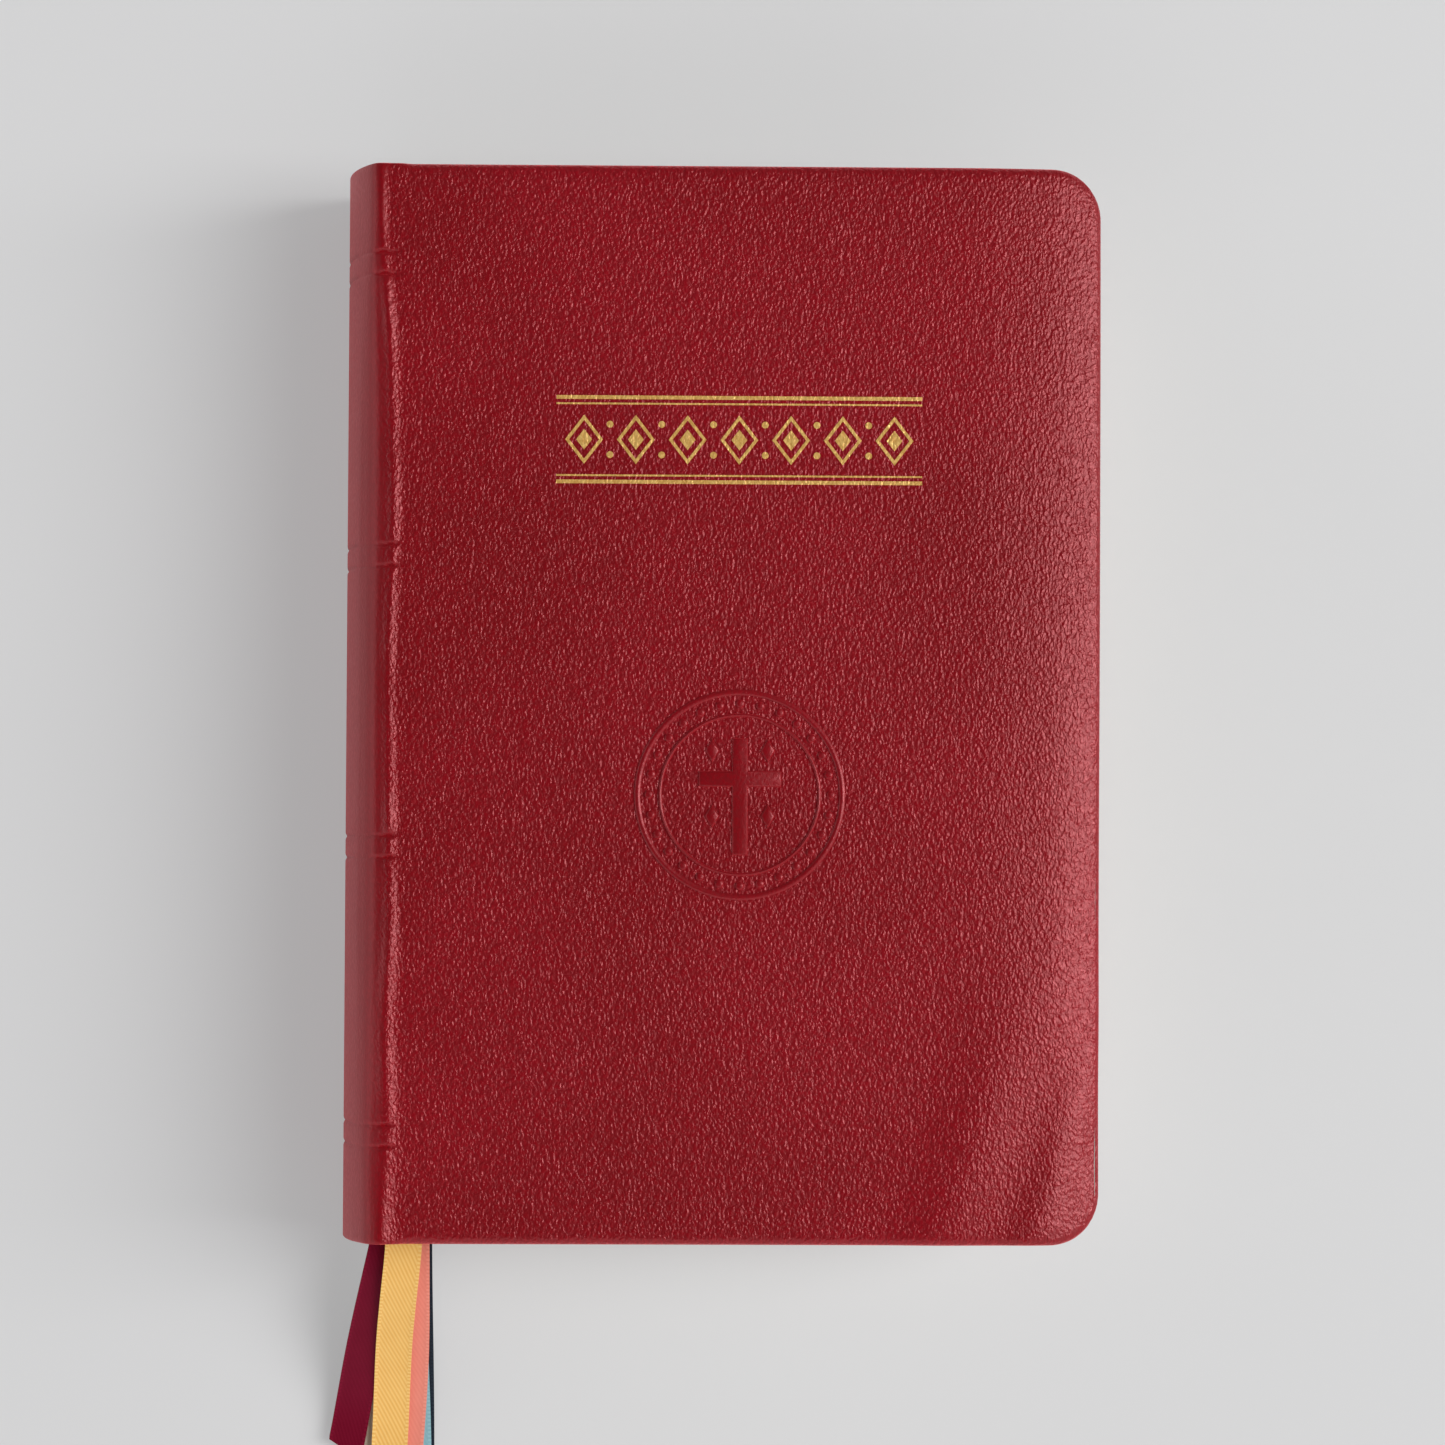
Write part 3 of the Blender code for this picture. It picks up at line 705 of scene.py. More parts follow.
RULES = [band + side * RULE_SPREAD for band in RULE_BANDS for side in (-1, 1)]
RULE_LINES = [rule + step * RULE_WIDTH for rule in RULES for step in (-2, -1, -0.5, 0, 0.5, 1, 2)]
LIP_LENGTH = 9 * MM
LIP_DROPS = (0.6 * MM, 1.3 * MM)
LIP_SPAN = (-35 * MM, 45 * MM)
SLACK_SPAN = (28 * MM, 80 * MM)
SLACK_FOLD_X, SLACK_FOLD_Y, SLACK_FOLD_SLOPE = 53.5 * MM, -56 * MM, 0.33
EDGE_UNEVENNESS = 0.35 * MM
EDGE_SPAN = (34 * MM, 56 * MM)
SLOPE_STEP = 0.05 * MM

# Height, place beside the fold and width of the two waves in the slack corner
SLACK_WAVES = ((0.7 * MM, -9 * MM, 6.5 * MM), (0.55 * MM, 5.5 * MM, 3.6 * MM))
# Period and seed of the slow wavers of the fore edge, of the ridge's place and of its height
EDGE_WAVER = (31 * MM, 2.0)
PLACE_WAVER = (23 * MM, 7.0)
SWELL_WAVER = (9 * MM, 4.0)


def soft_min(first, second, softness):
    """The lower of two heights, rounded where they cross."""
    return min(first, second) - softness * math.log1p(math.exp(-abs(first - second) / softness))


def wander(y, period, seed):
    """A slow, repeatable waver between about -0.5 and 0.5 along the book."""
    return noise.noise(Vector((y / period, seed, 0.5)))


def rule_depth(y):
    """How deep the blind rules across the spine are pressed at a height on the spine."""
    return RULE_DEPTH * max(bell(y, rule, RULE_WIDTH) for rule in RULES)


def rim_distance(x, y):
    """How far a place of the cover is from its nearest free edge."""
    from_corner_x = x - (FORE_X - CORNER_RADIUS)
    from_corner_y = abs(y) - (HALF_HEIGHT - CORNER_RADIUS)
    if from_corner_x > 0 and from_corner_y > 0:
        return max(CORNER_RADIUS - math.hypot(from_corner_x, from_corner_y), 0)
    return max(min(FORE_X - x, HALF_HEIGHT - abs(y)), 0)


def round_corner(x, y, right, half_height, radius):
    """Draw the square corners of a grid in to a sheet's two round corners."""
    a = (x - (right - radius)) / radius
    b = (abs(y) - (half_height - radius)) / radius
    if a <= 0 or b <= 0:
        return x, y
    x = right - radius + radius * a * math.sqrt(1 - b * b / 2)
    return x, math.copysign(half_height - radius + radius * b * math.sqrt(1 - a * a / 2), y)


def slack(x, y):
    """The wave in the limp lower corner, and a faint unevenness along the fore edge."""
    low_corner = smooth_step(-y, *SLACK_SPAN)
    fold = SLACK_FOLD_X + SLACK_FOLD_SLOPE * (y - SLACK_FOLD_Y)
    wave = sum(height * bell(x, fold + shift, width) for height, shift, width in SLACK_WAVES)
    uneven = EDGE_UNEVENNESS * wander(y, *EDGE_WAVER) * smooth_step(x, *EDGE_SPAN)
    return wave * low_corner + uneven


def skin_height(x, y, side):
    """Height of a cover's outer face, from the seam on the spine to the fore edge."""
    tail_end = smooth_step(-y, *TAIL_SPAN)
    ridge_x = JOINT_X - RIDGE_BACK - RIDGE_TURN * smooth_step(y, RIDGE_TURN_START, HALF_HEIGHT)
    ridge_x -= RIDGE_WANDER * wander(y, *PLACE_WAVER) + RIDGE_TAIL * tail_end
    arc = MID_Z + math.sqrt(ROUND_RADIUS ** 2 - (min(x, ROUND_CENTRE_X) - ROUND_CENTRE_X) ** 2)
    lean = max(ridge_x - x, 0) / LEAN_LENGTH
    softness = MIDDLE_SOFTNESS + (END_SOFTNESS - MIDDLE_SOFTNESS) * smooth_step(abs(y), *END_SPAN)
    softness *= max(smooth_step(x, SEAM_X, SEAM_X + SEAM_FADE), SEAM_SOFTNESS)
    top = soft_min(arc, THICKNESS - LEAN_DROP * lean ** LEAN_POWER, softness)
    notch = 1 + RULE_NOTCH * bell(x, ridge_x, RIDGE_WIDTH)
    top -= rule_depth(y) * notch * (1 - smooth_step(x, *RULE_FADE))
    if side == BACK:
        return THICKNESS - top
    ridge = RIDGE * (RIDGE_LEAST + RIDGE_SWELL * wander(y, *SWELL_WAVER) + TAIL_RISE * tail_end)
    top += ridge * bell(x, ridge_x, RIDGE_WIDTH * (1 + TAIL_SPREAD * tail_end))
    upper, lower = LIP_DROPS
    droop = upper + (lower - upper) * smooth_step(-y, *LIP_SPAN)
    lip = droop * max((x - FORE_X) / LIP_LENGTH + 1, 0) ** 2
    return pressed(x, top) - lip + slack(x, y)


def cover_thickness(x, y):
    """Bare leather at the joint, a full border with turn-ins, and a thinner window within it."""
    board = smooth_step(x, *BOARD_SPAN)
    window = smooth_step(rim_distance(x, y), *WINDOW_SPAN)
    full = COVER_THICKNESS + (WINDOW_THICKNESS - COVER_THICKNESS) * window
    return LEATHER + (full - LEATHER) * board


def cover_face(side, inner):
    """The function that puts a grid point on the outer or the inner face of a cover."""
    def place(u, v):
        x, y = round_corner(u, v, FORE_X, HALF_HEIGHT, CORNER_RADIUS)
        thickness = cover_thickness(x, y)
        radius = min(RIM, thickness / 2 - RIM_MARGIN)
        gap = max(radius - rim_distance(x, y), 0)
        roll = radius - math.sqrt(radius ** 2 - gap ** 2)
        z = skin_height(x, y, side)
        rise = skin_height(x + SLOPE_STEP, y, side) - skin_height(x - SLOPE_STEP, y, side)
        slope = rise / (2 * SLOPE_STEP)
        inward = Vector((slope, 0, -1)).normalized() * side
        return Vector((x, y, z)) + inward * (thickness - roll if inner else roll)

    return place


# %% Front and back cover leather
JOINT_END = JOINT_X + 4 * MM
JOINT_SPACING, COVER_SPACING, EDGE_SPACING = 0.32 * MM, 1.5 * MM, 0.9 * MM
WINDOW_SHIFTS = (-0.3, 0.1, 0.5)

cover_us = join_lines(
    lines(SEAM_X, JOINT_END, JOINT_SPACING),
    lines(JOINT_END, FORE_X - CORNER_RADIUS, COVER_SPACING),
    lines(FORE_X - CORNER_RADIUS, FORE_X - RIM, EDGE_SPACING),
    [FORE_X - RIM * share for share in RIM_SHARES],
    [FORE_X - WINDOW_INSET + shift * MM for shift in WINDOW_SHIFTS])
cover_vs = join_lines(
    lines(RIM - HALF_HEIGHT, HALF_HEIGHT - RIM, COVER_SPACING),
    [end * (HALF_HEIGHT - RIM * share) for share in RIM_SHARES for end in (-1, 1)],
    [end * (HALF_HEIGHT - WINDOW_INSET + shift * MM) for shift in WINDOW_SHIFTS for end in (-1, 1)],
    RULE_LINES)

for side, half in ((FRONT, "front_half"), (BACK, "back_half")):
    name = SIDE_NAMES[side]
    skin = make_sheet(cover_us, cover_vs, cover_face(side, False), cover_face(side, True))
    cover = add_piece(f"{name}_leather_skin", skin, red_leather)
    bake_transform(cover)
    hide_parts(f"{name}_cover_leather")

# %% [markdown]
# ### Spine
#
# The spine is a shallow round, the same leather again. Four pairs of blind rules are pressed across
# it, without gold. The sheet is a grid on an arc: u is the way round the spine, which ends at the front
# seam, and v runs along it.

# %% Spine leather
SPINE_RIM = LEATHER / 2 - RIM_MARGIN
ROUND_SPACING, LENGTH_SPACING = 0.8 * MM, 2 * MM

spine_us = lines(SPINE_X - 2 * SEAM_ANGLE * ROUND_RADIUS, SPINE_X, ROUND_SPACING)
spine_vs = join_lines(
    lines(SPINE_RIM - HALF_HEIGHT, HALF_HEIGHT - SPINE_RIM, LENGTH_SPACING),
    [end * (HALF_HEIGHT - SPINE_RIM * share) for share in RIM_SHARES for end in (-1, 1)],
    RULE_LINES)


def spine_face(inner):
    """The function that puts a grid point on the outer or the inner face of the spine."""
    def place(u, y):
        angle = (u - SPINE_X) / ROUND_RADIUS + SEAM_ANGLE
        gap = max(SPINE_RIM - (HALF_HEIGHT - abs(y)), 0)
        roll = SPINE_RIM - math.sqrt(max(SPINE_RIM ** 2 - gap ** 2, 0))
        depth = LEATHER - roll if inner else roll + rule_depth(y)
        radius = ROUND_RADIUS - depth
        return Vector((ROUND_CENTRE_X - radius * math.cos(angle), y, MID_Z + radius * math.sin(angle)))

    return place


skin = make_sheet(spine_us, spine_vs, spine_face(False), spine_face(True))
spine = add_piece("spine_leather_skin", skin, red_leather)
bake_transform(spine)
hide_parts("front_spine_leather", "back_spine_leather")

# %% [markdown]
# ### Gold and blind tooling
#
# A binder warms a brass stamp and presses gold leaf into the leather; a blind stamp does the same
# without gold. A band of gold lozenges between rules stands in the upper half of the front cover, and
# two low blind rings with beads and a plain cross in the lower half. Most shapes start as a flat face on
# the leather and are extruded, and each ring is a small circle spun round, so all of them also show on
# the bare mesh. The extruded blind shapes get soft bevels, and all blind work has the leather's finish.

# %% Helpers for stamped shapes
STAMP_FOOT = 0.08 * MM
OUTLINE_ANGLE = math.radians(30)


def add_flat(bm, corners, centre, half_width, half_height, border=None):
    """A flat lozenge or dot on the front cover, as a ring if it has a border."""
    verts = bmesh.ops.create_circle(bm, cap_ends=True, radius=1, segments=corners)["verts"]
    bmesh.ops.scale(bm, vec=(half_width, half_height, 1), verts=verts)
    bmesh.ops.translate(bm, vec=(*centre, THICKNESS - STAMP_FOOT), verts=verts)
    if border:
        middle = verts[0].link_faces[:]
        bmesh.ops.inset_individual(bm, faces=middle, thickness=border, use_even_offset=True)
        bmesh.ops.delete(bm, geom=middle, context="FACES_ONLY")


def add_bar(bm, centre, width, height):
    """A flat bar on the front cover."""
    verts = bmesh.ops.create_grid(bm, x_segments=1, y_segments=1, size=0.5)["verts"]
    bmesh.ops.scale(bm, vec=(width, height, 1), verts=verts)
    bmesh.ops.translate(bm, vec=(*centre, THICKNESS - STAMP_FOOT), verts=verts)


def raise_flats(bm, height, softness=None):
    """Give flat shapes their height above the leather, and soften their upper edges if asked."""
    raised = bmesh.ops.extrude_face_region(bm, geom=bm.faces[:])["geom"]
    upper = [item for item in raised if isinstance(item, bmesh.types.BMVert)]
    bmesh.ops.translate(bm, vec=(0, 0, STAMP_FOOT + height), verts=upper)
    bmesh.ops.recalc_face_normals(bm, faces=bm.faces[:])
    if softness:
        level = THICKNESS + height / 2
        tops = [edge for edge in bm.edges if all(vert.co.z > level for vert in edge.verts)]
        outline = [edge for edge in tops if edge.calc_face_angle() > OUTLINE_ANGLE]
        bmesh.ops.bevel(
            bm, geom=outline, offset=softness, affect="EDGES", segments=3, profile=0.5, material=-1)


# %% Gold finish
GOLD_DEEP = (0.62, 0.33, 0.075, 1)
GOLD_BRIGHT = (0.86, 0.55, 0.17, 1)
FLECK_SCALE = 1900.0
GOLD_ROUGHNESS = (0.3, 0.45)
GOLD_DEPTH = 0.1 * MM

gold_leaf, tree, shader = new_material("gold_leaf")
place = object_place(tree)
pebbles = use_group(tree, grain, {"Place": place, "Scale": GRAIN_SCALE, "Wander": GRAIN_WANDER})
flecks = speckle(tree, place, FLECK_SCALE, 3.0)
# The gold is darker in the grain's creases, in flecked patches.
darker_in_creases = calculate(tree, "MULTIPLY", pebbles["Crease"], remap(tree, flecks, 0.3, 0.6, 0.3, 1.0))
tone = mix_colours(tree, darker_in_creases, GOLD_BRIGHT, GOLD_DEEP)
roughness = remap(tree, flecks, *NOISE_RANGE, *GOLD_ROUGHNESS)
set_surface(tree, shader, tone, roughness, pebbles["Height"], GOLD_DEPTH, strength=0.5)
shader.inputs["Metallic"].default_value = 0.3

# %% Gold band of lozenges
BAND_CENTRE = Vector((2.5 * MM, 41.7 * MM))
BAND_LENGTH = 58 * MM
BAND_RISE = 6.7 * MM
THICK_RULE = 0.6 * MM
THIN_RULE = 0.28 * MM
RULE_STEP = 1.0 * MM
LOZENGE_COUNT = 7
LOZENGE_STEP = 8.2 * MM
LOZENGE_HALF = (3.0 * MM, 3.9 * MM)
LOZENGE_BORDER = 0.5 * MM
LOZENGE_CORE = 0.42
DOT_RADIUS = 0.55 * MM
DOT_RISE = 0.62
DOT_CORNERS = 14
LEAF_HEIGHT = 0.04 * MM

bm = bmesh.new()
for end in (-1, 1):
    add_bar(bm, BAND_CENTRE + Vector((0, end * BAND_RISE)), BAND_LENGTH, THICK_RULE)
    add_bar(bm, BAND_CENTRE + Vector((0, end * (BAND_RISE - RULE_STEP))), BAND_LENGTH, THIN_RULE)
for number in range(LOZENGE_COUNT):
    middle = BAND_CENTRE + Vector(((number - (LOZENGE_COUNT - 1) / 2) * LOZENGE_STEP, 0))
    add_flat(bm, 4, middle, *LOZENGE_HALF, border=LOZENGE_BORDER)
    add_flat(bm, 4, middle, LOZENGE_HALF[0] * LOZENGE_CORE, LOZENGE_HALF[1] * LOZENGE_CORE)
    for end in (-1, 1):
        if number < LOZENGE_COUNT - 1:
            dot = middle + Vector((LOZENGE_STEP / 2, end * DOT_RISE * LOZENGE_HALF[1]))
            add_flat(bm, DOT_CORNERS, dot, DOT_RADIUS, DOT_RADIUS)
raise_flats(bm, LEAF_HEIGHT)
gold_band = add_piece("gold_lozenge_band", bm, gold_leaf)
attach(gold_band, "front_cover")

# %% Blind ring with a cross
RING_CENTRE = Vector((2.8 * MM, -14.5 * MM))
RING_RADII = (16.2 * MM, 12.6 * MM)
RING_WIDTHS = (1.0 * MM, 0.6 * MM)
RING_RISE = 0.34 * MM
RING_STEPS = 96
BEAD_COUNT = 28
BEAD_CORNERS = 10
BEAD_HALF = (0.75 * MM, 0.75 * MM)
CROSS_XS = [x * MM for x in (-6.6, -1.3, 1.3, 6.6)]
CROSS_YS = [y * MM for y in (-9.6, 1.2, 3.8, 9.0)]
QUARTER_PLACES = [(x * MM, y * MM) for x in (-4.4, 4.4) for y in (-3.4, 7.0)]
QUARTER_HALF = (1.2 * MM, 2.0 * MM)
BLIND_SOFTNESS = 0.4 * MM

bm = bmesh.new()
bmesh.ops.create_grid(bm, x_segments=3, y_segments=3, size=0.5)
for vert in bm.verts:
    column, row = round((vert.co.x + 0.5) * 3), round((vert.co.y + 0.5) * 3)
    vert.co = (RING_CENTRE.x + CROSS_XS[column], RING_CENTRE.y + CROSS_YS[row], THICKNESS - STAMP_FOOT)
outer_corners = [vert for vert in bm.verts if len(vert.link_faces) == 1]
bmesh.ops.delete(bm, geom=outer_corners, context="VERTS")
for spot in QUARTER_PLACES:
    add_flat(bm, 4, RING_CENTRE + Vector(spot), *QUARTER_HALF)
for number in range(BEAD_COUNT):
    angle = math.tau * number / BEAD_COUNT
    spoke = Vector((math.cos(angle), math.sin(angle))) * sum(RING_RADII) / 2
    add_flat(bm, BEAD_CORNERS, RING_CENTRE + spoke, *BEAD_HALF)
raise_flats(bm, RING_RISE, BLIND_SOFTNESS)
hub = Vector((*RING_CENTRE, THICKNESS))
for radius, width in zip(RING_RADII, RING_WIDTHS):
    bead = bmesh.ops.create_circle(bm, radius=1, segments=BEAD_CORNERS)["verts"]
    bmesh.ops.scale(bm, vec=(width / 2, RING_RISE, 1), verts=bead)
    bmesh.ops.rotate(bm, matrix=Matrix.Rotation(math.pi / 2, 3, "X"), verts=bead)
    bmesh.ops.translate(bm, vec=hub + Vector((radius, 0, 0)), verts=bead)
    rim = list({edge for vert in bead for edge in vert.link_edges})
    bmesh.ops.spin(
        bm, geom=bead + rim, cent=hub, axis=(0, 0, 1), angle=math.tau, steps=RING_STEPS, use_merge=True)
bmesh.ops.remove_doubles(bm, verts=bm.verts[:], dist=0.001 * MM)
bmesh.ops.recalc_face_normals(bm, faces=bm.faces[:])
uv_layer = bm.loops.layers.uv.new("UVMap")
for face in bm.faces:
    for loop in face.loops:
        loop[uv_layer].uv = (SPINE_TAUT, 0)
blind_ring = add_piece("blind_ring_and_cross", bm, red_leather)
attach(blind_ring, "front_cover")

# %% [markdown]
# ## Pages
#
# The paper is thin and cream. Leaf edges show as fine lines along the head, the tail and the fore edge,
# so the page finish has noise that is stretched along the leaves. The fibres are a node group, because
# the endpapers, the pages and the boards all share them.

# %% Paper finishes
FINE_FIBRE = 5.0
LEAF_STREAKS = (14.0, 14.0, 5200.0)
STREAK_RANGE = (0.25, 0.62)
FLAT_SHARE = (0.8, 1.0)
PAPER_ROUGHNESS = (0.72, 0.88)
PAPER_DEPTH = 0.08 * MM

fibres, given, result = new_group(
    "paper_fibres", [("Place", "Vector"), ("Scale", "Float")], [("Tone", "Float"), ("Height", "Float")])
coarse = speckle(fibres, given["Place"], given["Scale"], 4.0)
fine_scale = calculate(fibres, "MULTIPLY", given["Scale"], FINE_FIBRE)
fine = speckle(fibres, given["Place"], fine_scale, 2.0)
blend = calculate(fibres, "MULTIPLY_ADD", fine, 0.5, calculate(fibres, "MULTIPLY", coarse, 0.5))
fibres.links.new(remap(fibres, blend, *NOISE_RANGE), result["Tone"])
fibres.links.new(fine, result["Height"])


def make_paper(name, shaded, light, fibre_scale, leaf_edges=False):
    """Matt paper or board. Page blocks also get the fine lines of their leaf edges."""
    material, tree, shader = new_material(name)
    place = object_place(tree)
    sheet = use_group(tree, fibres, {"Place": place, "Scale": fibre_scale})
    tone, relief = sheet["Tone"], sheet["Height"]
    if leaf_edges:
        drawn = add_node(tree, "Mapping", {"Vector": place, "Scale": LEAF_STREAKS}).outputs["Vector"]
        relief = speckle(tree, drawn, 1.0, 4.0)
        streaks = remap(tree, relief, *STREAK_RANGE)
        tone = calculate(tree, "MULTIPLY", streaks, remap(tree, tone, 0, 1, *FLAT_SHARE))
    colour = mix_colours(tree, tone, shaded, light)
    roughness = remap(tree, sheet["Tone"], 0, 1, *PAPER_ROUGHNESS)
    set_surface(tree, shader, colour, roughness, relief, PAPER_DEPTH, strength=0.35)
    shader.inputs["Specular IOR Level"].default_value = 0.25
    return material


page_paper = make_paper("page_paper", (0.74, 0.69, 0.57, 1), (0.82, 0.78, 0.68, 1), 700.0)
page_edges = make_paper("page_edges", (0.60, 0.54, 0.42, 1), (0.83, 0.79, 0.69, 1), 700.0, leaf_edges=True)
end_paper = make_paper("cream_endpaper", (0.72, 0.65, 0.52, 1), (0.80, 0.74, 0.62, 1), 420.0)

# %% [markdown]
# ### Page blocks
#
# Each half of the book is a stack of leaves sewn at the spine. The block starts as a grid, one page with
# two round corners. It is extruded leaf group by leaf group, each a hair longer or shorter than the
# last, and follows the round of the folds, which makes the hollow fore edge. At last the fore edge
# sinks as the cover does.

# %% Page blocks
PAGE_MARGIN = 3 * MM
PAGE_CORNER = 6 * MM
LEAF_GROUPS = 44
LEAF_UNEVENNESS = 0.0004
LEAF_SEED = 4
SECTION_COUNT = 8
BLOCK_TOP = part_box(f"front_section_{SECTION_COUNT}")[1].z
BLOCK_DEPTH = THICKNESS - BLOCK_TOP
PAGE_SPACING, ROUND_PAGE_SPACING, PAGE_LENGTH_SPACING = 3 * MM, 0.75 * MM, 12 * MM


def fold_x(z):
    """Where the folds of the leaves lie at a height."""
    return arc_x(FOLD_RADIUS, z)


PAGE_WIDTH = FORE_X - PAGE_MARGIN - fold_x(BLOCK_TOP)
corner_y = PAGE_HALF_HEIGHT - PAGE_CORNER
page_us = join_lines(
    [0.0],
    lines(PAGE_WIDTH - FORE_EDGE_LENGTH, PAGE_WIDTH - PAGE_CORNER, PAGE_SPACING),
    lines(PAGE_WIDTH - PAGE_CORNER, PAGE_WIDTH, ROUND_PAGE_SPACING))
page_vs = join_lines(
    lines(-corner_y, corner_y, PAGE_LENGTH_SPACING),
    lines(-PAGE_HALF_HEIGHT, -corner_y, ROUND_PAGE_SPACING),
    lines(corner_y, PAGE_HALF_HEIGHT, ROUND_PAGE_SPACING))
uneven = np.random.default_rng(LEAF_SEED)


def make_page_block(low, high):
    """Leaves stacked from the low to the high level, in groups."""

    def lowest_leaf(u, v):
        x, y = round_corner(u, v, PAGE_WIDTH, PAGE_HALF_HEIGHT, PAGE_CORNER)
        return Vector((fold_x(low) + x, y, low))

    bm = make_sheet(page_us, page_vs, lowest_leaf)
    top, size_before = bm.faces[:], 1.0
    heights = np.linspace(low, high, LEAF_GROUPS + 1)
    for before, after in zip(heights, heights[1:]):
        made = bmesh.ops.extrude_face_region(bm, geom=top)["geom"]
        top = [item for item in made if isinstance(item, bmesh.types.BMFace)]
        verts = [item for item in made if isinstance(item, bmesh.types.BMVert)]
        bmesh.ops.translate(bm, vec=(fold_x(after) - fold_x(before), 0, after - before), verts=verts)
        size = 1 + LEAF_UNEVENNESS * uneven.uniform(-1, 1)
        about_fold = Matrix.Translation((-fold_x(after), 0, 0))
        change = size / size_before
        bmesh.ops.scale(bm, vec=(change, change, 1), space=about_fold, verts=verts)
        size_before = size
    for vert in bm.verts:
        vert.co.z = pressed(vert.co.x, vert.co.z)
    bmesh.ops.recalc_face_normals(bm, faces=bm.faces[:])
    return bm


for side in (FRONT, BACK):
    name = SIDE_NAMES[side]
    sections = [f"{name}_section_{number}" for number in range(1, SECTION_COUNT + 1)]
    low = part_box("left_leaf")[1].z + PAGE_GAP if side == FRONT else BLOCK_DEPTH
    high = BLOCK_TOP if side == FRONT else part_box("back_section_1")[1].z
    block = add_piece(f"{name}_page_block", make_page_block(low, high), page_edges, sharp_angle=14)
    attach(block, f"{name}_half")
    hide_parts(*sections)
    print(block.name, "in mm: from", round(low / MM, 2), "to", round(high / MM, 2))

# %% [markdown]
# ### Folded papers
#
# An endpaper is a flat paper pasted to the cover, and a flyleaf that lies on the pages. The flyleaf has a
# fold at the joint, and a narrow hinge strip beyond the fold is pasted to the cover too. The sheet at the
# middle opening is folded in the same way round the gutter. One function makes the folded papers: u runs
# from the upper half, round the fold, to the lower half.

# %% Helpers that make folded and flat paper
PAPER = 0.14 * MM
FOLD_STEPS = 80
LEAST_FOLD_STEP = 0.002 * MM
SHEET_SPACING, ROUND_SHEET_SPACING = 3 * MM, 0.7 * MM
END_SHARE, HEIGHT_SHARE = 0.009, 0.05
FLAT_SPACING, FLAT_LENGTH_SPACING = 1.5 * MM, 6 * MM


def make_folded_sheet(fold_edge_x, low_z, high_z, low_half, high_half):
    """A sheet folded at the left; each half is its right edge, its half height and its corner radius."""
    radius = (high_z - low_z) / 2
    quarter = radius * math.pi / 2
    centre_x = fold_edge_x + radius

    def face(side):
        def place(u, v):
            right, half_height, corner = high_half if u < 0 else low_half
            turn = smooth_step(u, -quarter, quarter)
            if abs(u) < quarter:
                half_height = high_half[1] + (low_half[1] - high_half[1]) * turn
            angle = min(max(u / radius, -math.pi / 2), math.pi / 2)
            x = centre_x + max(abs(u) - quarter, 0)
            x, y = round_corner(x, v * half_height, right, half_height, corner)
            away = Vector((-math.cos(angle), 0, -math.sin(angle)))
            point = Vector((x, y, (low_z + high_z) / 2)) + away * (radius + side * PAPER / 2)
            point.z = pressed(point.x, point.z)
            return point
        return place

    def leaf_lines(right, corner):
        reach = quarter + right - centre_x
        flat = lines(quarter, reach - corner, SHEET_SPACING)
        return flat + lines(reach - corner, reach, ROUND_SHEET_SPACING)

    us = join_lines(
        [-u for u in leaf_lines(high_half[0], high_half[2])],
        list(np.linspace(-quarter, quarter, FOLD_STEPS + 1)),
        leaf_lines(low_half[0], low_half[2]), least=LEAST_FOLD_STEP)
    corner_share = max(low_half[2], high_half[2]) / low_half[1]
    vs = join_lines(
        lines(-1, -1 + corner_share, END_SHARE),
        lines(-1 + corner_share, 1 - corner_share, HEIGHT_SHARE),
        lines(1 - corner_share, 1, END_SHARE))
    return make_sheet(us, vs, face(1), face(-1))


def make_flat_sheet(left, middle_z, sheet_half):
    """A flat paper with two round corners at the right, sunk at the fore edge as the book is."""
    right, half_height, corner = sheet_half

    def face(side):
        def place(u, v):
            x, y = round_corner(u, v, right, half_height, corner)
            return Vector((x, y, pressed(x, middle_z + side * PAPER / 2)))
        return place

    us = join_lines(
        lines(left, right - corner, FLAT_SPACING),
        lines(right - corner, right, ROUND_SHEET_SPACING))
    inner = half_height - corner
    vs = join_lines(
        lines(-half_height, -inner, ROUND_SHEET_SPACING),
        lines(-inner, inner, FLAT_LENGTH_SPACING),
        lines(inner, half_height, ROUND_SHEET_SPACING))
    return make_sheet(us, vs, face(1), face(-1))


# %% Endpapers
PACKED_PAPER = 0.25 * MM
PASTE_INSET = 8.2 * MM
PASTE_CORNER = 1.2 * MM
HINGE_STRIP = 8 * MM
SQUARE_CORNER = 0.01 * MM
HINGE_SHARES = (0.25, 0.75)
strip_edge = JOINT_X + HINGE_STRIP
paste_height = HALF_HEIGHT - PASTE_INSET
pasted_half = (FORE_X - PASTE_INSET, paste_height, PASTE_CORNER)
strip_half = (strip_edge, paste_height, SQUARE_CORNER)
flying_half = (FORE_X - PAGE_MARGIN, PAGE_HALF_HEIGHT, PAGE_CORNER)
joint_edge = fold_x(BLOCK_TOP) - PAGE_GAP

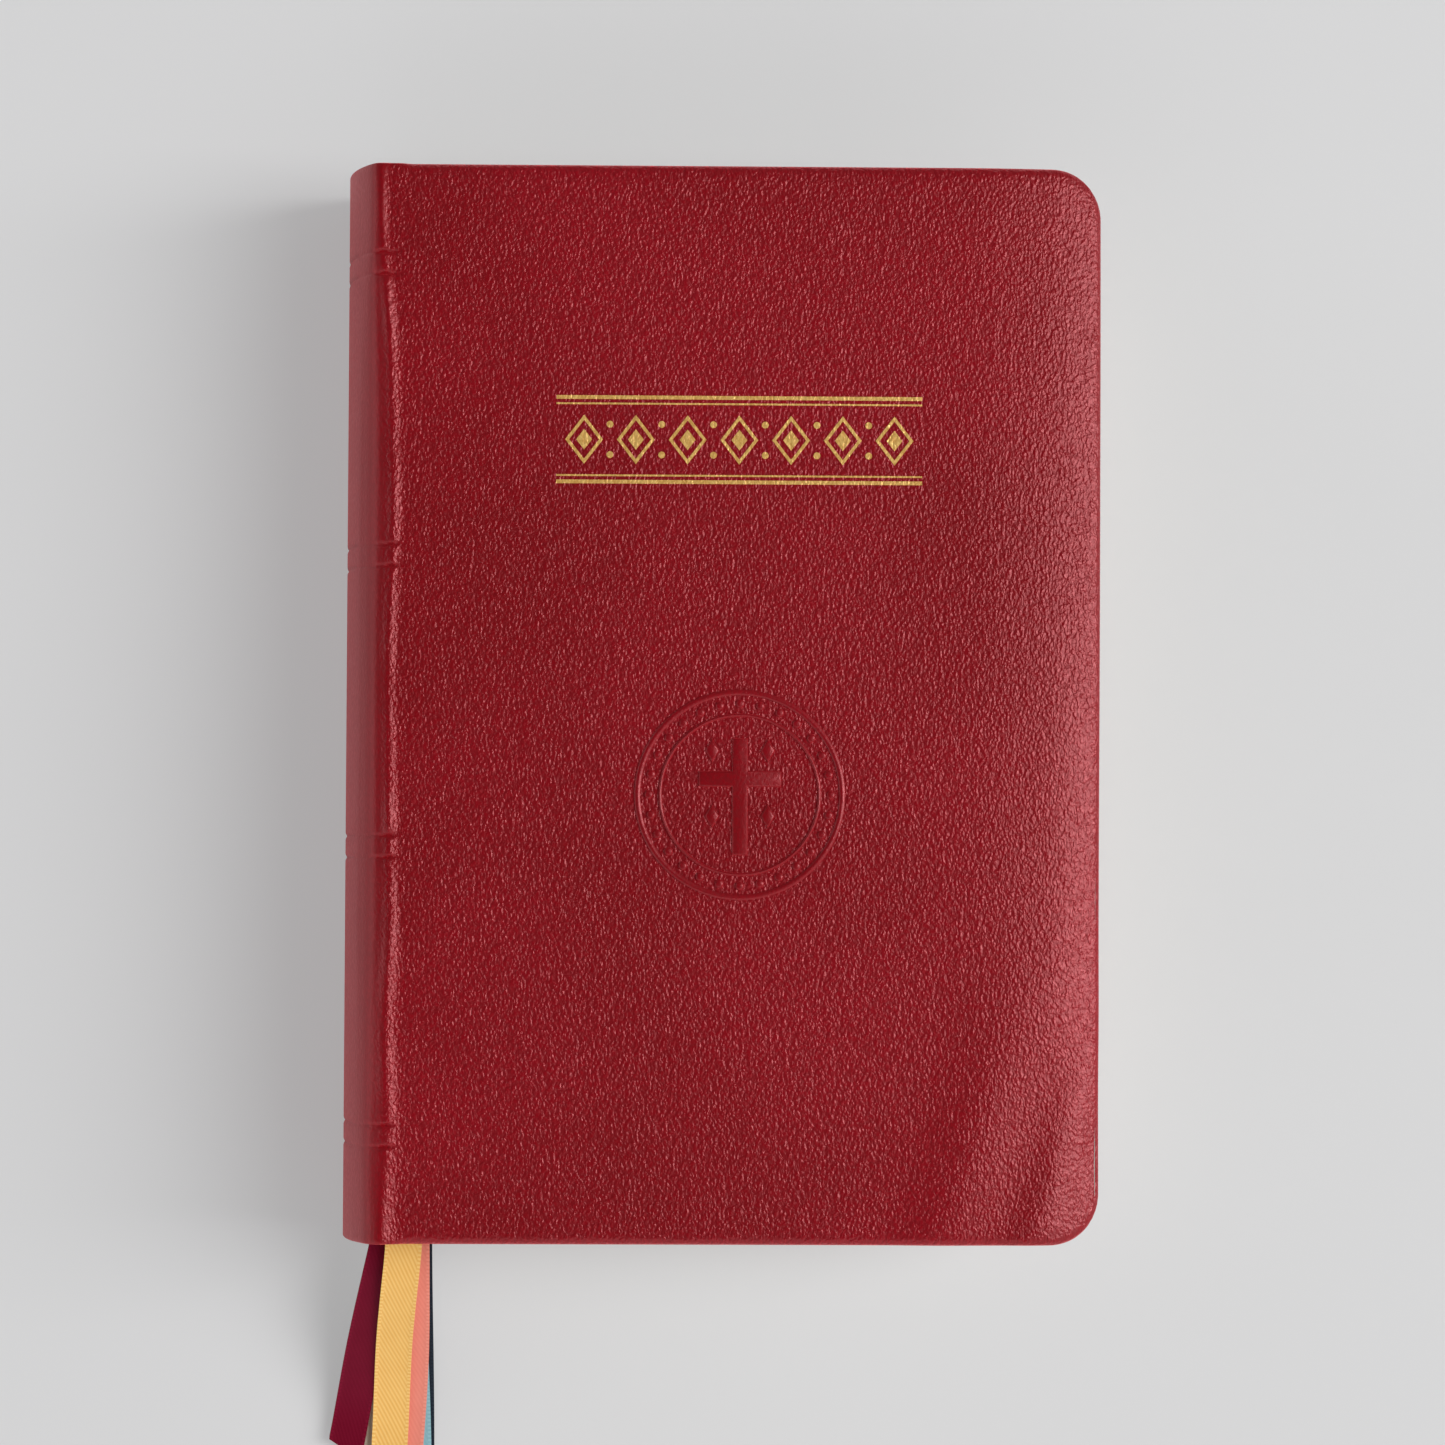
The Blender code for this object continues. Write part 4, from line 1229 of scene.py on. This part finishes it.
for side in (FRONT, BACK):
    name = SIDE_NAMES[side]
    paste_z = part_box(f"{name}_pastedown")[1].z - PACKED_PAPER / 2
    fly_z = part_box(f"{name}_flyleaf")[1].z - PACKED_PAPER / 2
    pasted = make_flat_sheet(strip_edge, paste_z, pasted_half)
    pastedown = add_piece(f"{name}_pasted_paper", pasted, end_paper)
    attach(pastedown, f"{name}_cover")
    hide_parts(f"{name}_pastedown")
    low_z, high_z = sorted((paste_z, fly_z))
    low_half, high_half = (flying_half, strip_half) if side == FRONT else (strip_half, flying_half)
    folded = make_folded_sheet(joint_edge, low_z, high_z, low_half, high_half)
    flyleaf = add_piece(f"{name}_folded_flyleaf", folded, end_paper)
    start, end = (Vector((joint_edge, 0, fly_z + share * (paste_z - fly_z))) for share in HINGE_SHARES)
    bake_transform(flyleaf)
    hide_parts(f"{name}_flyleaf")

# %% Middle sheet
SPREAD_GAP = 0.02 * MM
GUTTER_GAP = 0.05 * MM
SPREAD_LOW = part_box("back_section_1")[1].z + PAPER / 2 + SPREAD_GAP
SPREAD_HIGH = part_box("left_leaf")[1].z + PAGE_GAP / 2
gutter_x = fold_x(MID_Z)
leaf_half = (gutter_x + PAGE_WIDTH, PAGE_HALF_HEIGHT, PAGE_CORNER)
spread = make_folded_sheet(gutter_x + GUTTER_GAP, SPREAD_LOW, SPREAD_HIGH, leaf_half, leaf_half)
middle_sheet = add_piece("middle_folded_sheet", spread, page_paper)
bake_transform(middle_sheet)

# %% [markdown]
# ### Loose leaves at the opening
#
# The two leaves beside the middle lift when the book opens. Paper doesn't turn on a pin: it curls up from
# the gutter. Here each leaf is a flat sheet with two round corners, sunk at the fore edge as the book is.

# %% Lifting leaves
LEAF_MARGIN = 0.25 * MM
LEAF_MIDDLE = 0.1 * MM

for leaf_side, half in (("left", "front_half"), ("right", "back_half")):
    node = f"{leaf_side}_leaf"
    leaf_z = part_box(node)[1].z - LEAF_MIDDLE
    sheet = make_flat_sheet(gutter_x + LEAF_MARGIN, leaf_z, leaf_half)
    leaf = add_piece(f"{leaf_side}_loose_leaf", sheet, page_paper)
    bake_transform(leaf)
    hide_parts(node)

# %% [markdown]
# ### Headband and tailband
#
# A band is a cord wound with silk in two colours, sewn over the ends of the folds. It is a small circle
# spun along the round of the spine, and stripes follow its UV map, where v runs along the band.

# %% Bands
BAND_STRIPE = 0.9 * MM
BAND_STEPS = 90
BAND_RED = (0.34, 0.012, 0.018, 1)
BAND_CREAM = (0.72, 0.64, 0.50, 1)
BAND_PATH = FOLD_RADIUS - BAND_DIAMETER / 2
BAND_LIFT = 0.2 * MM
BAND_THREAD = 0.15 * MM
BAND_CORNERS = 12
BAND_ROUGHNESS = (0.4, 0.6)
SILK_DEPTH = 0.05 * MM

band_silk, tree, shader = new_material("striped_band_silk")
along = add_node(tree, "SeparateXYZ", {0: sheet_place(tree)}).outputs["Y"]
stripe = sine_wave(tree, along, 2 * BAND_STRIPE)
threads = sine_wave(tree, along, BAND_THREAD)
tone = mix_colours(tree, remap(tree, stripe, -0.25, 0.25), BAND_RED, BAND_CREAM)
roughness = remap(tree, threads, -1, 1, *BAND_ROUGHNESS)
set_surface(tree, shader, tone, roughness, threads, SILK_DEPTH, strength=0.4)
shader.inputs["Sheen Weight"].default_value = 0.2


def make_band(y):
    """A round cord along the folds, with its length in the UV map."""
    bm = bmesh.new()
    uv_layer = bm.loops.layers.uv.new("UVMap")
    hub = Vector((SPINE_CENTRE_X, y, MID_Z))
    reach = math.asin((MID_Z - BLOCK_DEPTH - BAND_DIAMETER / 2) / BAND_PATH)
    circle = bmesh.ops.create_circle(bm, cap_ends=True, radius=BAND_DIAMETER / 2, segments=BAND_CORNERS)
    made = circle["verts"]
    bmesh.ops.translate(bm, vec=hub - Vector((BAND_PATH, 0, 0)), verts=made)
    bmesh.ops.rotate(bm, cent=hub, matrix=Matrix.Rotation(-reach, 3, "Y"), verts=made)
    bmesh.ops.spin(bm, geom=bm.faces[:], cent=hub, axis=(0, 1, 0), angle=2 * reach, steps=BAND_STEPS)
    bmesh.ops.recalc_face_normals(bm, faces=bm.faces[:])
    for face in bm.faces:
        for loop in face.loops:
            spoke = loop.vert.co - hub
            loop[uv_layer].uv = (spoke.length, BAND_PATH * math.atan2(spoke.z, -spoke.x))
    return bm


for end, kind in ((1, "headband"), (-1, "tailband")):
    band_y = end * (PAGE_HALF_HEIGHT + BAND_LIFT + BAND_DIAMETER / 2)
    band = add_piece(f"striped_{kind}", make_band(band_y), band_silk)
    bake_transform(band)
    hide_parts(f"front_{kind}", f"back_{kind}")

# %% [markdown]
# ## Inner parts
#
# Boards, spine cards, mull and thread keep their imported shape, because nobody sees more than an edge of
# them. They still get real finishes: pressed fibres for board and card, a square open weave for the
# mull, and a much finer one for the thread.

# %% Finishes of the inner parts
CLOTH_ROUGHNESS = (0.95, 0.8)
CLOTH_DEPTH = 0.1 * MM


def make_cloth(name, dark, light, pitch):
    """A plain weave: threads that cross along the book and round the spine."""
    material, tree, shader = new_material(name)
    place = add_node(tree, "SeparateXYZ", {0: object_place(tree)}).outputs
    along = sine_wave(tree, place["Y"], pitch)
    around = sine_wave(tree, place["Z"], pitch)
    net = remap(tree, calculate(tree, "MAXIMUM", along, around), -0.2, 0.8)
    colour = mix_colours(tree, net, dark, light)
    roughness = remap(tree, net, 0, 1, *CLOTH_ROUGHNESS)
    set_surface(tree, shader, colour, roughness, net, CLOTH_DEPTH, strength=0.6)
    return material


inner_finishes = {
    "board": make_paper("grey_board", (0.28, 0.27, 0.25, 1), (0.42, 0.40, 0.36, 1), 260.0),
    "spine_inlay": make_paper("brown_card", (0.30, 0.21, 0.12, 1), (0.46, 0.34, 0.21, 1), 300.0),
    "mull": make_cloth("open_mull", (0.50, 0.44, 0.34, 1), (0.80, 0.77, 0.70, 1), 1.1 * MM),
    "sewing_thread": make_cloth("linen_thread", (0.55, 0.50, 0.40, 1), (0.78, 0.74, 0.64, 1), 0.3 * MM),
}
for part, finish in inner_finishes.items():
    for name in SIDE_NAMES.values():
        nodes[f"{name}_{part}"].material_slots[0].material = finish
print("inner parts finished:", sorted(inner_finishes))
